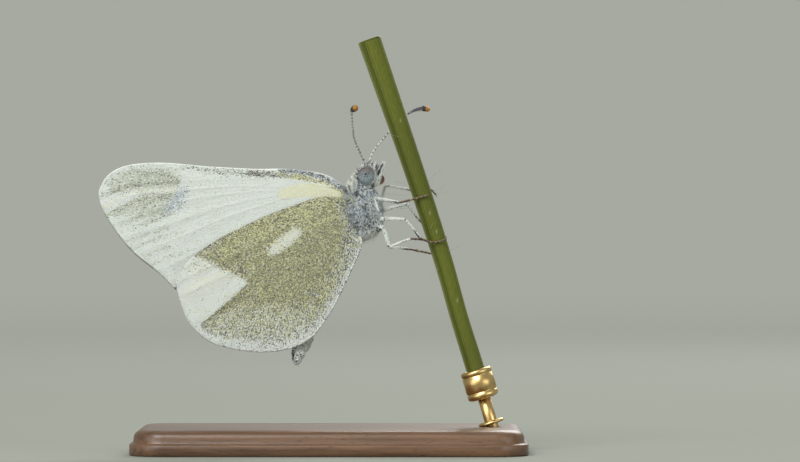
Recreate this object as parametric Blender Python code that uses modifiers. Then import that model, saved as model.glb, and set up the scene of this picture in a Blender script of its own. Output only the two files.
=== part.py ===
"""Wood white butterfly at rest on a cut length of grass stem, on a small display stand.

Every size below is in millimetres, and each mesh is scaled to metres as it is made. +Z is up, the
floor is Z = 0 and the origin is the middle of the stand's underside. The butterfly's plane of
symmetry is Y = 0: its head is up, its legs reach along +X to the stem, and its wings, closed over
its back, trail along -X. Its right side faces -Y.
"""

import math

import bmesh
import bpy
import numpy as np
from mathutils import Matrix, Vector

MM = 0.001
GAP = 0.04  # clearance between neighbouring solids
WELD = 0.0001  # points nearer than this are one point
SHARP = math.radians(40)
SIDES = (("right", -1), ("left", 1))

# Wings. Each outline is four sides of a patch: hind edge and costa run out from the root, and the
# root edge and the outer margin run from hind edge to costa. Points are (x, z).
WING_THICKNESS = 0.50
WING_STEPS = (18, 12)
FOREWING_Y = 0.28
HINDWING_Y = 0.85
LEFT_WING_TURN = math.radians(0.5)
FOREWING_SIDES = {
    "hind": [(1.50, 21.70), (-3.40, 19.80), (-8.80, 17.00), (-13.42, 14.20)],
    "costa": [(1.75, 22.75), (1.00, 23.20), (0.00, 23.82), (-2.60, 24.42), (-6.40, 24.50),
              (-10.40, 24.72), (-15.10, 25.06), (-17.90, 24.66), (-19.55, 23.66)],
    "root": [(1.50, 21.70), (1.75, 22.75)],
    "margin": [(-13.42, 14.20), (-14.53, 15.34), (-17.02, 17.41), (-19.09, 20.14), (-19.98, 22.10),
               (-19.55, 23.66)],
}
HINDWING_SIDES = {
    "hind": [(2.50, 18.90), (2.84, 18.20), (2.59, 17.40), (1.50, 14.90), (0.10, 12.10), (-1.20, 10.10)],
    "costa": [(1.45, 21.95), (-0.43, 22.15), (-3.46, 21.27), (-6.91, 19.87), (-10.37, 18.06),
              (-12.30, 16.25), (-13.32, 14.20)],
    "root": [(2.50, 18.90), (1.95, 20.40), (1.45, 21.95)],
    "margin": [(-1.20, 10.10), (-3.40, 8.90), (-5.90, 8.66), (-8.60, 8.92), (-11.20, 10.12),
               (-12.78, 12.20), (-13.32, 14.20)],
}
# Out from the root the wings close together: both bow outward there, and the hindwings also bow
# round the abdomen.
ROOT_FLARE = {"at": (1.90, 22.20), "rise": 0.42, "reach": 2.2}
BODY_FLARE = {"line": ((2.10, 18.75), (-2.90, 7.65)), "rise": 0.20, "reach": 1.5}

# Trunk. Each station is (x, z, half depth in the side view, half width along Y).
TRUNK_SIDES = 20
THORAX = [(2.34, 23.78, 0.32, 0.30), (2.36, 23.50, 0.62, 0.52), (2.48, 23.10, 0.95, 0.76),
          (2.76, 22.50, 1.32, 0.98), (2.90, 21.50, 1.62, 1.17), (3.00, 20.40, 1.65, 1.20),
          (3.12, 19.60, 1.50, 1.08), (3.16, 19.10, 1.14, 0.86), (3.05, 18.70, 0.66, 0.52),
          (2.98, 18.45, 0.34, 0.30)]
ABDOMEN = [(2.45, 19.60, 0.62, 0.55), (2.10, 18.75, 0.66, 0.60), (1.72, 17.50, 0.72, 0.64),
           (0.92, 15.40, 0.78, 0.66), (-0.32, 13.00, 0.78, 0.66), (-1.72, 10.80, 0.76, 0.64)]
ABDOMEN_TIP = [(-1.72, 10.80, 0.76, 0.64), (-2.52, 9.05, 0.78, 0.58), (-2.80, 8.20, 0.55, 0.46),
               (-2.88, 7.66, 0.37, 0.32)]

# Head: ellipsoids as centre, radii and facets round and down, with the eyes seated in its sides.
HEAD_CENTRE = (3.38, 0.0, 23.86)
HEAD_RADII = (0.93, 0.80, 1.04)
HEAD_FACETS = (24, 14)
EYE_CENTRE = (3.36, 0.42, 23.83)
EYE_RADII = (0.85, 0.62, 0.82)
EYE_FACETS = (20, 14)
EYE_DEPTH = 0.20  # the eyes' inner faces stop here, either side of the middle
PALP_PATH = [(4.15, 0.50, 22.95), (4.38, 0.50, 23.70), (4.50, 0.47, 24.35), (4.60, 0.42, 25.00)]
PALP_RADII = (0.25, 0.28, 0.27, 0.20)
COIL_CENTRE = (4.36, 0.0, 23.50)
COIL_RADII = (0.27, 0.22)  # ring and tube
COIL_FACETS = (20, 8)

# Feelers and legs: paths through (x, y, z) with a radius.
RINGS_PER_POINT = 2
TUBE_ROUNDING = 2  # curve bevel steps, which give 8 sides
FEELER_RADIUS = 0.25
CLUB_RADIUS = 0.32
ANTENNAE = {
    "right": [(3.20, -0.36, 24.68), (2.60, -1.20, 25.88), (2.15, -2.45, 26.90), (2.00, -4.00, 27.85),
              (1.92, -5.40, 29.05)],
    "left": [(3.28, 0.36, 24.68), (3.64, 0.80, 25.94), (4.28, 1.20, 26.86), (5.20, 1.70, 27.82),
             (6.78, 2.45, 29.30)],
}
CLUBS = {
    "right": [(1.92, -5.40, 29.05), (1.96, -5.80, 29.30), (2.08, -6.18, 29.50), (2.24, -6.55, 29.63)],
    "left": [(6.78, 2.45, 29.30), (7.38, 2.75, 29.64), (8.02, 3.02, 29.80), (8.62, 3.24, 29.72)],
}
LEG_SIDES = 8
LEG_RADII = {"femur": 0.27, "tibia": 0.25, "tarsus": 0.25}
LEGS = {
    "leg_front_right": [(4.22, -0.62, 20.60), (3.84, -1.36, 21.94), (5.96, -1.30, 21.52),
                        (7.20, -1.26, 21.83), (8.50, -1.22, 22.20)],
    "leg_mid_right": [(4.55, -0.50, 20.13), (6.57, -1.25, 20.09), (7.78, -1.50, 18.60),
                      (8.90, -1.26, 18.52), (10.11, -1.06, 18.35)],
    "leg_hind_right": [(4.45, -0.50, 19.55), (5.10, -0.95, 17.72), (7.00, -0.95, 18.36),
                       (8.36, -0.86, 18.16)],
    "leg_front_left": [(4.05, 0.85, 21.15), (4.86, 1.05, 22.88), (6.60, 1.26, 22.62),
                       (7.50, 1.24, 22.60), (9.10, 1.16, 22.30)],
    "leg_mid_left": [(4.30, 0.40, 20.80), (6.65, 1.15, 21.43), (7.69, 1.28, 20.04), (8.90, 1.22, 19.00)],
    "leg_hind_left": [(4.40, 0.50, 19.55), (5.10, 0.90, 17.68), (6.85, 1.06, 17.53), (8.90, 1.12, 17.11)],
}

# Perch: the stem's middle line from its foot to its top, and its radius at each point.
STEM_PATH = [(13.14, 5.20), (12.31, 7.95), (11.23, 11.40), (9.88, 16.20), (8.62, 20.20),
             (6.96, 25.23), (5.18, 30.40), (3.39, 35.60)]
STEM_RADII = (0.80, 0.79, 0.77, 0.80, 0.85, 0.88, 0.93, 1.00)
STEM_RINGS = 12
STEM_ROUNDING = 5  # curve bevel steps, which give 14 sides

# Stand: a moulded wooden base, a brass rod and the ferrule that holds the stem's foot.
# The base's edge is drawn in by (inset, height) steps from its underside to its top.
BASE_LENGTH = 34.0
BASE_WIDTH = 17.0
BASE_HEIGHT = 2.2
BASE_PROFILE = [(0.12, 0.0), (0.0, 0.12), (0.0, 0.90), (0.28, 1.02), (0.36, 1.50), (0.56, 1.95),
                (1.10, 2.16), (1.50, BASE_HEIGHT)]
BASE_CORNER = 3.0
BASE_CORNER_STEPS = 6
TURNED_SIDES = 24
ROD_RADIUS = 0.55
FERRULE_RADIUS = 1.35
FERRULE_BELOW = 0.6
FERRULE_ABOVE = 2.0


def clear_scene():
    for obj in list(bpy.data.objects):
        bpy.data.objects.remove(obj, do_unlink=True)


def new_collection(name, hidden=False):
    group = bpy.data.collections.new(name)
    group.hide_render = hidden
    bpy.context.scene.collection.children.link(group)
    return group


def finish(name, colour, roughness, metallic=0.0):
    material = bpy.data.materials.new(name)
    material.use_nodes = True
    shader = material.node_tree.nodes["Principled BSDF"]
    shader.inputs["Base Color"].default_value = (*colour, 1.0)
    shader.inputs["Roughness"].default_value = roughness
    shader.inputs["Metallic"].default_value = metallic
    return material


def add_object(name, mesh, group, material):
    obj = bpy.data.objects.new(name, mesh)
    group.objects.link(obj)
    if material:
        mesh.materials.append(material)
        mesh.shade_smooth()
        mesh.set_sharp_from_angle(angle=SHARP)
    else:
        obj.hide_render = True
        obj.display_type = "WIRE"
    return obj


def mesh_of(name, points, faces):
    """A mesh from points in millimetres."""
    mesh = bpy.data.meshes.new(name)
    mesh.from_pydata((np.asarray(points, float) * MM).tolist(), [], faces)
    mesh.update()
    return mesh


def mesh_of_bmesh(name, shape):
    """A mesh from a bmesh drawn in millimetres, which is freed."""
    bmesh.ops.scale(shape, vec=(MM, MM, MM), verts=shape.verts)
    bmesh.ops.recalc_face_normals(shape, faces=shape.faces)
    mesh = bpy.data.meshes.new(name)
    shape.to_mesh(mesh)
    shape.free()
    return mesh


def smooth_path(points, count):
    """count points, evenly spaced along a smooth curve through the given ones."""
    points = np.asarray(points, float)
    steps = np.linalg.norm(np.diff(points, axis=0), axis=1)
    knots = np.concatenate([[0.0], np.cumsum(steps)])
    slopes = np.gradient(points, knots, axis=0)
    at = np.linspace(0.0, knots[-1], count)
    span = np.clip(np.searchsorted(knots, at, side="right") - 1, 0, len(steps) - 1)
    width = steps[span][:, None]
    s = (at - knots[span])[:, None] / width
    ease = s * s * (3 - 2 * s)
    bend = s * (1 - s) ** 2 * slopes[span] - s * s * (1 - s) * slopes[span + 1]
    return points[span] + ease * (points[span + 1] - points[span]) + bend * width


def rings_to_faces(rings, sides):
    """Quads between neighbouring rings and a cap on each end."""
    faces = []
    for ring in range(rings - 1):
        for side in range(sides):
            near, far = ring * sides + side, ring * sides + (side + 1) % sides
            faces.append((near, far, far + sides, near + sides))
    faces.append(tuple(reversed(range(sides))))
    faces.append(tuple(range((rings - 1) * sides, rings * sides)))
    return faces


def outward(mesh):
    shape = bmesh.new()
    shape.from_mesh(mesh)
    bmesh.ops.recalc_face_normals(shape, faces=shape.faces)
    shape.to_mesh(mesh)
    shape.free()
    return mesh


def lofted(name, stations, group, material, grow=0.0):
    """A body of oval rings, square to the line through their centres in the plane Y = 0."""
    stations = np.asarray(stations, float)
    middle = stations[:, :2]
    along = np.gradient(middle, axis=0)
    along /= np.linalg.norm(along, axis=1, keepdims=True)
    if grow:
        middle = middle + along * np.linspace(-grow, grow, len(middle))[:, None]
    angle = np.linspace(0.0, 2 * math.pi, TRUNK_SIDES, endpoint=False)
    depth = (stations[:, 2:3] + grow) * np.cos(angle)
    width = (stations[:, 3:4] + grow) * np.sin(angle)
    x = middle[:, 0:1] + depth * along[:, 1:2]
    z = middle[:, 1:2] - depth * along[:, 0:1]
    points = np.stack([x, width, z], axis=-1).reshape(-1, 3)
    mesh = mesh_of(name, points, rings_to_faces(len(stations), TRUNK_SIDES))
    return add_object(name, outward(mesh), group, material)


def ellipsoid(name, centre, radii, facets, group, material, grow=0.0):
    shape = bmesh.new()
    bmesh.ops.create_uvsphere(shape, u_segments=facets[0], v_segments=facets[1], radius=1.0)
    size = Matrix.Diagonal((*(radius + grow for radius in radii), 1.0))
    bmesh.ops.transform(shape, matrix=Matrix.Translation(centre) @ size, verts=shape.verts)
    return add_object(name, mesh_of_bmesh(name, shape), group, material)


def subtract(obj, *cutters):
    for cutter in cutters:
        boolean = obj.modifiers.new("clear of " + cutter.name, "BOOLEAN")
        boolean.operation = "DIFFERENCE"
        boolean.object = cutter


def tube(name, path, radii, group, material, rounding=TUBE_ROUNDING):
    """A round tube through a few (x, y, z) points, made from a curve and turned into a mesh."""
    line = smooth_path(np.column_stack([path, radii]), RINGS_PER_POINT * len(path))
    curve = bpy.data.curves.new(name, "CURVE")
    curve.dimensions = "3D"
    curve.bevel_depth = MM
    curve.bevel_resolution = rounding
    curve.use_fill_caps = True
    spline = curve.splines.new("POLY")
    spline.points.add(len(line) - 1)
    for point, (x, y, z, radius) in zip(spline.points, line):
        point.co = (x * MM, y * MM, z * MM, 1.0)
        point.radius = radius
    drawn = bpy.data.objects.new(name + "_curve", curve)
    group.objects.link(drawn)
    bpy.context.view_layer.update()
    mesh = bpy.data.meshes.new_from_object(drawn.evaluated_get(bpy.context.evaluated_depsgraph_get()))
    bpy.data.objects.remove(drawn, do_unlink=True)
    shape = bmesh.new()
    shape.from_mesh(mesh)
    bmesh.ops.remove_doubles(shape, verts=shape.verts, dist=WELD * MM)
    bmesh.ops.recalc_face_normals(shape, faces=shape.faces)
    shape.to_mesh(mesh)
    shape.free()
    mesh.name = name
    mesh.materials.clear()
    return add_object(name, mesh, group, material)


def wing_offset(plane, hind, x, z):
    """A wing's distance from the plane Y = 0: its own plane, bowed out at the root and the body."""
    away = np.hypot(x - ROOT_FLARE["at"][0], z - ROOT_FLARE["at"][1]) / ROOT_FLARE["reach"]
    offset = plane + ROOT_FLARE["rise"] * np.exp(-away * away)
    if hind:
        (x0, z0), (x1, z1) = BODY_FLARE["line"]
        away = ((x - x0) * (z1 - z0) - (z - z0) * (x1 - x0)) / math.hypot(x1 - x0, z1 - z0)
        offset = offset + BODY_FLARE["rise"] * np.exp(-((away / BODY_FLARE["reach"]) ** 2))
    return offset


def wing(name, sides, plane, side, group, material):
    """A patch between the four sides, bowed by wing_offset, given its thickness by Solidify."""
    long_steps, wide_steps = WING_STEPS
    hind = smooth_path(sides["hind"], long_steps + 1)[:, None]
    costa = smooth_path(sides["costa"], long_steps + 1)[:, None]
    root = smooth_path(sides["root"], wide_steps + 1)[None]
    margin = smooth_path(sides["margin"], wide_steps + 1)[None]
    u = np.linspace(0.0, 1.0, long_steps + 1)[:, None, None]
    v = np.linspace(0.0, 1.0, wide_steps + 1)[None, :, None]
    root_corners = (1 - v) * root[:, :1] + v * root[:, -1:]
    margin_corners = (1 - v) * margin[:, :1] + v * margin[:, -1:]
    corners = (1 - u) * root_corners + u * margin_corners
    flat = (1 - v) * hind + v * costa + (1 - u) * root + u * margin - corners
    x, z = flat[..., 0], flat[..., 1]
    y = side * wing_offset(plane, sides is HINDWING_SIDES, x, z)
    points = np.stack([x, y, z], axis=-1).reshape(-1, 3)
    if side > 0:
        pivot = Vector((ROOT_FLARE["at"][0], 0.0, ROOT_FLARE["at"][1]))
        turn = Matrix.Rotation(-LEFT_WING_TURN, 3, "Y")
        points = [turn @ (Vector(point) - pivot) + pivot for point in points]
    row = wide_steps + 1
    faces = [
        (i * row + j, i * row + j + 1, (i + 1) * row + j + 1, (i + 1) * row + j)
        for i in range(long_steps)
        for j in range(wide_steps)
    ]
    obj = add_object(name, mesh_of(name, points, faces), group, material)
    solid = obj.modifiers.new("thickness", "SOLIDIFY")
    solid.thickness = WING_THICKNESS * MM
    solid.offset = 0.0
    solid.use_even_offset = True
    return obj


def limb(name, path, radius, planes, group, material):
    """A straight-sided tube whose rings lie on mitre planes, so that segments meet at a joint."""
    path = [Vector(point) for point in path]
    angle = [2 * math.pi * (side + 0.5) / LEG_SIDES for side in range(LEG_SIDES)]
    points = []
    for place, (middle, plane) in enumerate(zip(path, planes)):
        along = (path[min(place + 1, len(path) - 1)] - path[max(place - 1, 0)]).normalized()
        if place == 0:
            middle = middle + along * (GAP / 2 / abs(along.dot(plane)))
        if place == len(path) - 1:
            middle = middle - along * (GAP / 2 / abs(along.dot(plane)))
        across = along.cross(Vector((0, 1, 0))).normalized()
        upright = across.cross(along)
        for turn in angle:
            spoke = radius * (math.cos(turn) * across + math.sin(turn) * upright)
            points.append(middle + spoke - along * (spoke.dot(plane) / along.dot(plane)))
    mesh = mesh_of(name, points, rings_to_faces(len(path), LEG_SIDES))
    return add_object(name, outward(mesh), group, material)


def leg(name, path, thorax_cutter, group, materials):
    """Femur, tibia and tarsus: each ends on the plane that halves the angle at its joint."""
    path = [Vector(point) for point in path]
    ways = [(after - before).normalized() for before, after in zip(path, path[1:])]
    planes = [ways[0]] + [(a + b).normalized() for a, b in zip(ways, ways[1:])] + [ways[-1]]
    femur = limb(name + "_femur", path[:2], LEG_RADII["femur"], planes[:2], group, materials["leg"])
    subtract(femur, thorax_cutter)
    limb(name + "_tibia", path[1:3], LEG_RADII["tibia"], planes[1:3], group, materials["leg"])
    limb(name + "_tarsus", path[2:], LEG_RADII["tarsus"], planes[2:], group, materials["tarsus"])


def trunk(parts, cutters, eye_cutters, materials):
    thorax_cutter = lofted("thorax_cutter", THORAX, cutters, None, grow=GAP)
    thorax = lofted("thorax", THORAX, parts, materials["body"])
    subtract(thorax, *eye_cutters)
    abdomen = lofted("abdomen", ABDOMEN, parts, materials["body"])
    tip_cutter = lofted("abdomen_tip_cutter", ABDOMEN_TIP, cutters, None, grow=GAP)
    subtract(abdomen, thorax_cutter, tip_cutter)
    lofted("abdomen_tip", ABDOMEN_TIP, parts, materials["body"])
    return thorax_cutter


def eye(name, side, group, material, grow=0.0):
    """One eye: an ellipsoid whose inner side is cut flat at EYE_DEPTH from the middle."""
    centre = (EYE_CENTRE[0], side * EYE_CENTRE[1], EYE_CENTRE[2])
    obj = ellipsoid(name, centre, EYE_RADII, EYE_FACETS, group, material, grow)
    shape = bmesh.new()
    shape.from_mesh(obj.data)
    everything = list(shape.verts) + list(shape.edges) + list(shape.faces)
    plane = Vector((0.0, side * (EYE_DEPTH - grow) * MM, 0.0))
    cut = bmesh.ops.bisect_plane(
        shape, geom=everything, dist=WELD * MM, plane_co=plane, plane_no=(0, side, 0), clear_inner=True
    )
    rim = [item for item in cut["geom_cut"] if isinstance(item, bmesh.types.BMEdge)]
    bmesh.ops.contextual_create(shape, geom=rim)
    bmesh.ops.recalc_face_normals(shape, faces=shape.faces)
    shape.to_mesh(obj.data)
    shape.free()
    return obj


def eyes(parts, cutters, material):
    """Both eyes, and the slightly larger copies that cut their neighbours clear."""
    for side_name, side in SIDES:
        eye("eye_" + side_name, side, parts, material)
    return [eye(f"eye_{side_name}_cutter", side, cutters, None, grow=GAP) for side_name, side in SIDES]


def head(parts, cutters, thorax_cutter, eye_cutters, materials):
    head_cutter = ellipsoid("head_cutter", HEAD_CENTRE, HEAD_RADII, HEAD_FACETS, cutters, None, grow=GAP)
    whole = ellipsoid("head", HEAD_CENTRE, HEAD_RADII, HEAD_FACETS, parts, materials["body"])
    subtract(whole, thorax_cutter, *eye_cutters)
    for (side_name, side), eye_cutter in zip(SIDES, eye_cutters):
        path = [(x, side * y, z) for x, y, z in PALP_PATH]
        palp = tube("palp_" + side_name, path, PALP_RADII, parts, materials["body"])
        subtract(palp, head_cutter, eye_cutter, thorax_cutter)
        club_cutter = club(side_name, parts, cutters, materials["club"])
        path = ANTENNAE[side_name]
        shaft = tube("antenna_" + side_name, path, [FEELER_RADIUS] * len(path), parts, materials["feeler"])
        subtract(shaft, head_cutter, eye_cutter, club_cutter)
    proboscis(parts, head_cutter, thorax_cutter, materials["tongue"])


def club(side_name, parts, cutters, material):
    """The thick end of a feeler, and the slightly larger copy that keeps its shaft clear."""
    path = CLUBS[side_name]
    radii = (FEELER_RADIUS, CLUB_RADIUS, CLUB_RADIUS, FEELER_RADIUS)
    tube("antenna_club_" + side_name, path, radii, parts, material)
    return tube(f"club_{side_name}_cutter", path, [radius + GAP for radius in radii], cutters, None)


def proboscis(group, head_cutter, thorax_cutter, material):
    """The coiled tongue as a turned ring that stands in the plane Y = 0."""
    ring, thickness = (radius * MM for radius in COIL_RADII)
    around, across = COIL_FACETS
    bpy.ops.mesh.primitive_torus_add(
        major_segments=around, minor_segments=across, major_radius=ring, minor_radius=thickness
    )
    obj = bpy.context.active_object
    for other in list(obj.users_collection):
        other.objects.unlink(obj)
    group.objects.link(obj)
    obj.name = obj.data.name = "proboscis"
    obj.location = Vector(COIL_CENTRE) * MM
    obj.rotation_euler = (math.pi / 2, 0.0, 0.0)
    obj.data.materials.append(material)
    obj.data.shade_smooth()
    subtract(obj, head_cutter, thorax_cutter)


def wings(group, thorax_cutter, materials):
    for side_name, side in SIDES:
        fore = wing("forewing_" + side_name, FOREWING_SIDES, FOREWING_Y, side, group, materials["forewing"])
        hind = wing("hindwing_" + side_name, HINDWING_SIDES, HINDWING_Y, side, group, materials["hindwing"])
        subtract(fore, thorax_cutter)
        subtract(hind, thorax_cutter)


def stem_path():
    """The stem's middle line and radii, from foot to top, as (x, 0, z) and radius."""
    line = smooth_path(np.column_stack([STEM_PATH, STEM_RADII]), STEM_RINGS)
    return [(x, 0.0, z) for x, z, _ in line], [radius for *_, radius in line]


def turned_along(name, start, end, radius, group, material):
    """A cylinder between two (x, z) points in the plane Y = 0."""
    foot = Vector((start[0], 0.0, start[1]))
    way = Vector((end[0], 0.0, end[1])) - foot
    shape = bmesh.new()
    bmesh.ops.create_cone(
        shape, cap_ends=True, segments=TURNED_SIDES, radius1=radius, radius2=radius, depth=way.length
    )
    place = Matrix.Translation(foot + way / 2) @ way.to_track_quat("Z", "Y").to_matrix().to_4x4()
    bmesh.ops.transform(shape, matrix=place, verts=shape.verts)
    return add_object(name, mesh_of_bmesh(name, shape), group, material)


def perch_and_stand(parts, cutters, materials):
    path, radii = stem_path()
    tube("perch_stem", path, radii, parts, materials["stem"], STEM_ROUNDING)
    wider = [radius + GAP for radius in radii]
    stem_cutter = tube("stem_cutter", path, wider, cutters, None, STEM_ROUNDING)
    foot = np.asarray(STEM_PATH[0])
    way = np.asarray(STEM_PATH[1]) - foot
    way /= np.linalg.norm(way)
    low, high = foot - FERRULE_BELOW * way, foot + FERRULE_ABOVE * way
    ferrule = turned_along("stand_ferrule", low, high, FERRULE_RADIUS, parts, materials["brass"])
    subtract(ferrule, stem_cutter)
    rod_top = low - GAP * way
    rod_foot = rod_top - ((rod_top[1] - BASE_HEIGHT / 2) / way[1]) * way
    rod = turned_along("stand_rod", rod_foot, rod_top, ROD_RADIUS, parts, materials["brass"])
    subtract(rod, base("base_cutter", cutters, None, GAP))
    base("stand_base", parts, materials["base"])


def base(name, group, material, grow=0.0):
    """A slab with round corners and a moulded edge: one ring of points for each step of its profile."""
    quarter = np.linspace(0.0, math.pi / 2, BASE_CORNER_STEPS + 1)
    turn = np.concatenate([quarter + corner * math.pi / 2 for corner in range(4)])
    reach_x = np.repeat([1, -1, -1, 1], len(quarter)) * (BASE_LENGTH / 2 - BASE_CORNER)
    reach_y = np.repeat([1, 1, -1, -1], len(quarter)) * (BASE_WIDTH / 2 - BASE_CORNER)
    rings = []
    for inset, height in BASE_PROFILE:
        radius = BASE_CORNER - inset + grow
        x, y = reach_x + radius * np.cos(turn), reach_y + radius * np.sin(turn)
        rings.append(np.stack([x, y, np.full(len(turn), height)], axis=-1))
    points = np.concatenate(rings)
    points[-len(turn):, 2] += grow
    mesh = mesh_of(name, points, rings_to_faces(len(rings), len(turn)))
    return add_object(name, outward(mesh), group, material)


def main():
    clear_scene()
    parts = new_collection("wood_white_butterfly")
    cutters = new_collection("cutters", hidden=True)
    materials = {
        "body": finish("body", (0.27, 0.30, 0.31), 0.75),
        "forewing": finish("forewing", (0.66, 0.69, 0.62), 0.65),
        "hindwing": finish("hindwing", (0.36, 0.37, 0.24), 0.70),
        "eye": finish("eye", (0.17, 0.20, 0.21), 0.25),
        "feeler": finish("feeler", (0.22, 0.21, 0.20), 0.60),
        "club": finish("club", (0.25, 0.13, 0.04), 0.55),
        "tongue": finish("tongue", (0.30, 0.14, 0.06), 0.45),
        "leg": finish("leg", (0.50, 0.51, 0.50), 0.65),
        "tarsus": finish("tarsus", (0.20, 0.10, 0.05), 0.55),
        "stem": finish("stem", (0.12, 0.13, 0.03), 0.55),
        "brass": finish("brass", (0.60, 0.42, 0.16), 0.30, 1.0),
        "base": finish("base", (0.16, 0.08, 0.04), 0.45),
    }
    eye_cutters = eyes(parts, cutters, materials["eye"])
    thorax_cutter = trunk(parts, cutters, eye_cutters, materials)
    head(parts, cutters, thorax_cutter, eye_cutters, materials)
    wings(parts, thorax_cutter, materials)
    for name, path in LEGS.items():
        leg(name, path, thorax_cutter, parts, materials)
    perch_and_stand(parts, cutters, materials)


if __name__ == "__main__":
    main()
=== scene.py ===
"""Looks of the wood white butterfly model: wings, coat, eyes, feelers, legs, grass stem and stand.

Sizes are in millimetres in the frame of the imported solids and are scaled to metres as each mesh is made.
+Z is up, the butterfly's middle plane is Y = 0 and its right side faces -Y.
"""

import sys
import logging
import math
from dataclasses import dataclass, field, replace
from enum import Enum

import bpy
import numpy as np
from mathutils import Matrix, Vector


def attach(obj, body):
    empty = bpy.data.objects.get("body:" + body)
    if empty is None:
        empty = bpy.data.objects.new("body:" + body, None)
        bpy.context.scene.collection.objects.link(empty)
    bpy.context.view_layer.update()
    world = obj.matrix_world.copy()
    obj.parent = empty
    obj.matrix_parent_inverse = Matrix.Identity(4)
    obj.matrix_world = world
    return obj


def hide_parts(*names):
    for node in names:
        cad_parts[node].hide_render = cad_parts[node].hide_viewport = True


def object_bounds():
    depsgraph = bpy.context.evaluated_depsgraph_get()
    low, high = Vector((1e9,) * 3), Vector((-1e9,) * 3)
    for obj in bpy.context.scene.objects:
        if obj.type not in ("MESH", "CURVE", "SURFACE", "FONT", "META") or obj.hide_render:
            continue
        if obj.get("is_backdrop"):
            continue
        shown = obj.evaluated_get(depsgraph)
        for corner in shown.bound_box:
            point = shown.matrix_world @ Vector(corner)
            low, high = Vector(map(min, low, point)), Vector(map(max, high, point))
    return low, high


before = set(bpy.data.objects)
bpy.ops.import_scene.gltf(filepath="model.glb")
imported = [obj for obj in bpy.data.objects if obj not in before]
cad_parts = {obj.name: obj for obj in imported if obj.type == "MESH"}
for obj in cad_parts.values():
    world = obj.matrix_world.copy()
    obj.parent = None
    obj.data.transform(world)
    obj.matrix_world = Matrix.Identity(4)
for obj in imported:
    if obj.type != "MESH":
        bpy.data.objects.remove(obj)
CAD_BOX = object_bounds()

Array = np.ndarray
Random = np.random.Generator
Colour = tuple[float, float, float]
Place = tuple[float, ...]
Line = tuple[Place, ...]

MM = 0.001
TINY = 1e-9
BODY = "root"
PATCH = 0.003  # side of one tuft's patch on the coat's UV map
FULL_TURN = 2 * math.pi


class Worded(Enum):
    """Named options, whose names are also words in the pieces' names."""

    @property
    def word(self) -> str:
        """The option's name in lower case."""
        return self.name.lower()


class Side(Worded):
    """The butterfly's two sides, as the sign of Y."""

    RIGHT = -1
    LEFT = 1


# ---- curves and surfaces


def unit(arrows: Array) -> Array:
    """Each vector of the last axis divided by its own length."""
    return arrows / np.maximum(np.linalg.norm(arrows, axis=-1, keepdims=True), TINY)


def vectors(*parts: Array) -> Array:
    """Numbers side by side, as the last axis."""
    return np.stack(parts, axis=-1)


def flattened(lie: Array, normals: Array, share: float = 1.0) -> Array:
    """Unit vectors along a surface: lie less a share of its part along the normal."""
    return unit(lie - share * (lie * normals).sum(-1, keepdims=True) * normals)


def ramp(low: float, high: float, value: Array) -> Array:
    """0 below low and 1 above high, with 3t^2 - 2t^3 in between."""
    t = np.clip((value - low) / (high - low), 0.0, 1.0)
    return t * t * (3 - 2 * t)


def bell(distance: Array, width: float) -> Array:
    """A bell curve, the exponential of minus the square of distance over width."""
    return np.exp(-((distance / width) ** 2))


def spot(x: Array, z: Array, place: Place) -> Array:
    """A round bell about a place in the XZ plane, whose numbers are x, z and width."""
    return bell(np.hypot(x - place[0], z - place[1]), place[2])


def blend(first: Colour | Array, second: Colour | Array, share: Array) -> Array:
    """The first colour where share is 0 and the second where it is 1."""
    return np.asarray(first) * (1 - share) + np.asarray(second) * share


def turns(count: int) -> Array:
    """Angles evenly spaced round a full turn, from 0."""
    return np.linspace(0.0, FULL_TURN, count, endpoint=False)


def smooth_path(points: Line | Array, count: int) -> Array:
    """Evenly spaced points on a smooth curve: cubic Hermite spans on chord-length knots.

    Args:
        points: the points that the curve passes through, of any dimension.
        count: how many points to return.

    Returns:
        An array of count rows.
    """
    points = np.asarray(points, float)
    steps = np.linalg.norm(np.diff(points, axis=0), axis=1)
    knots = np.concatenate([[0.0], np.cumsum(steps)])
    slopes = np.gradient(points, knots, axis=0)
    at = np.linspace(0.0, knots[-1], count)
    span = np.clip(np.searchsorted(knots, at, side="right") - 1, 0, len(steps) - 1)
    width = steps[span][:, None]
    s = (at - knots[span])[:, None] / width
    ease = s * s * (3 - 2 * s)
    bend = s * (1 - s) ** 2 * slopes[span] - s * s * (1 - s) * slopes[span + 1]
    return points[span] + ease * (points[span + 1] - points[span]) + bend * width


def off_line(x: Array, z: Array, line: Line | Array) -> tuple[Array, Array]:
    """Distance from an open line in the XZ plane: the least of the distances from its straight spans.

    Args:
        x: the points' first coordinates.
        z: the points' second coordinates.
        line: the line's points, whose first two numbers are x and z.

    Returns:
        The distances, and how far along the line the nearest point lies, from 0 to 1.
    """
    line = np.asarray(line, float)
    step = np.diff(line[:, :2], axis=0)
    away = vectors(x, z)[..., None, :] - line[:-1, :2]
    t = np.clip((away * step).sum(-1) / np.maximum((step**2).sum(-1), TINY), 0.0, 1.0)
    gaps = np.linalg.norm(away - t[..., None] * step, axis=-1)
    nearest = gaps.argmin(-1)[..., None]
    along = (nearest + np.take_along_axis(t, nearest, -1))[..., 0] / len(step)
    return np.take_along_axis(gaps, nearest, -1)[..., 0], along


def inside(x: Array, z: Array, outline: Array) -> Array:
    """Which points lie in a closed outline: those whose ray towards +X crosses it an odd number of times.

    Args:
        x: the points' first coordinates, in one row.
        z: their second coordinates.
        outline: the outline's (x, z) points.

    Returns:
        True for each point inside.
    """
    x0, z0 = outline[:, 0], outline[:, 1]
    x1, z1 = np.roll(x0, -1), np.roll(z0, -1)
    spans = (z0 > z[:, None]) != (z1 > z[:, None])
    height = np.where(np.abs(z1 - z0) < TINY, TINY, z1 - z0)
    crossing = x0 + (z[:, None] - z0) * (x1 - x0) / height
    return (spans & (x[:, None] < crossing)).sum(1) % 2 == 1


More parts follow.
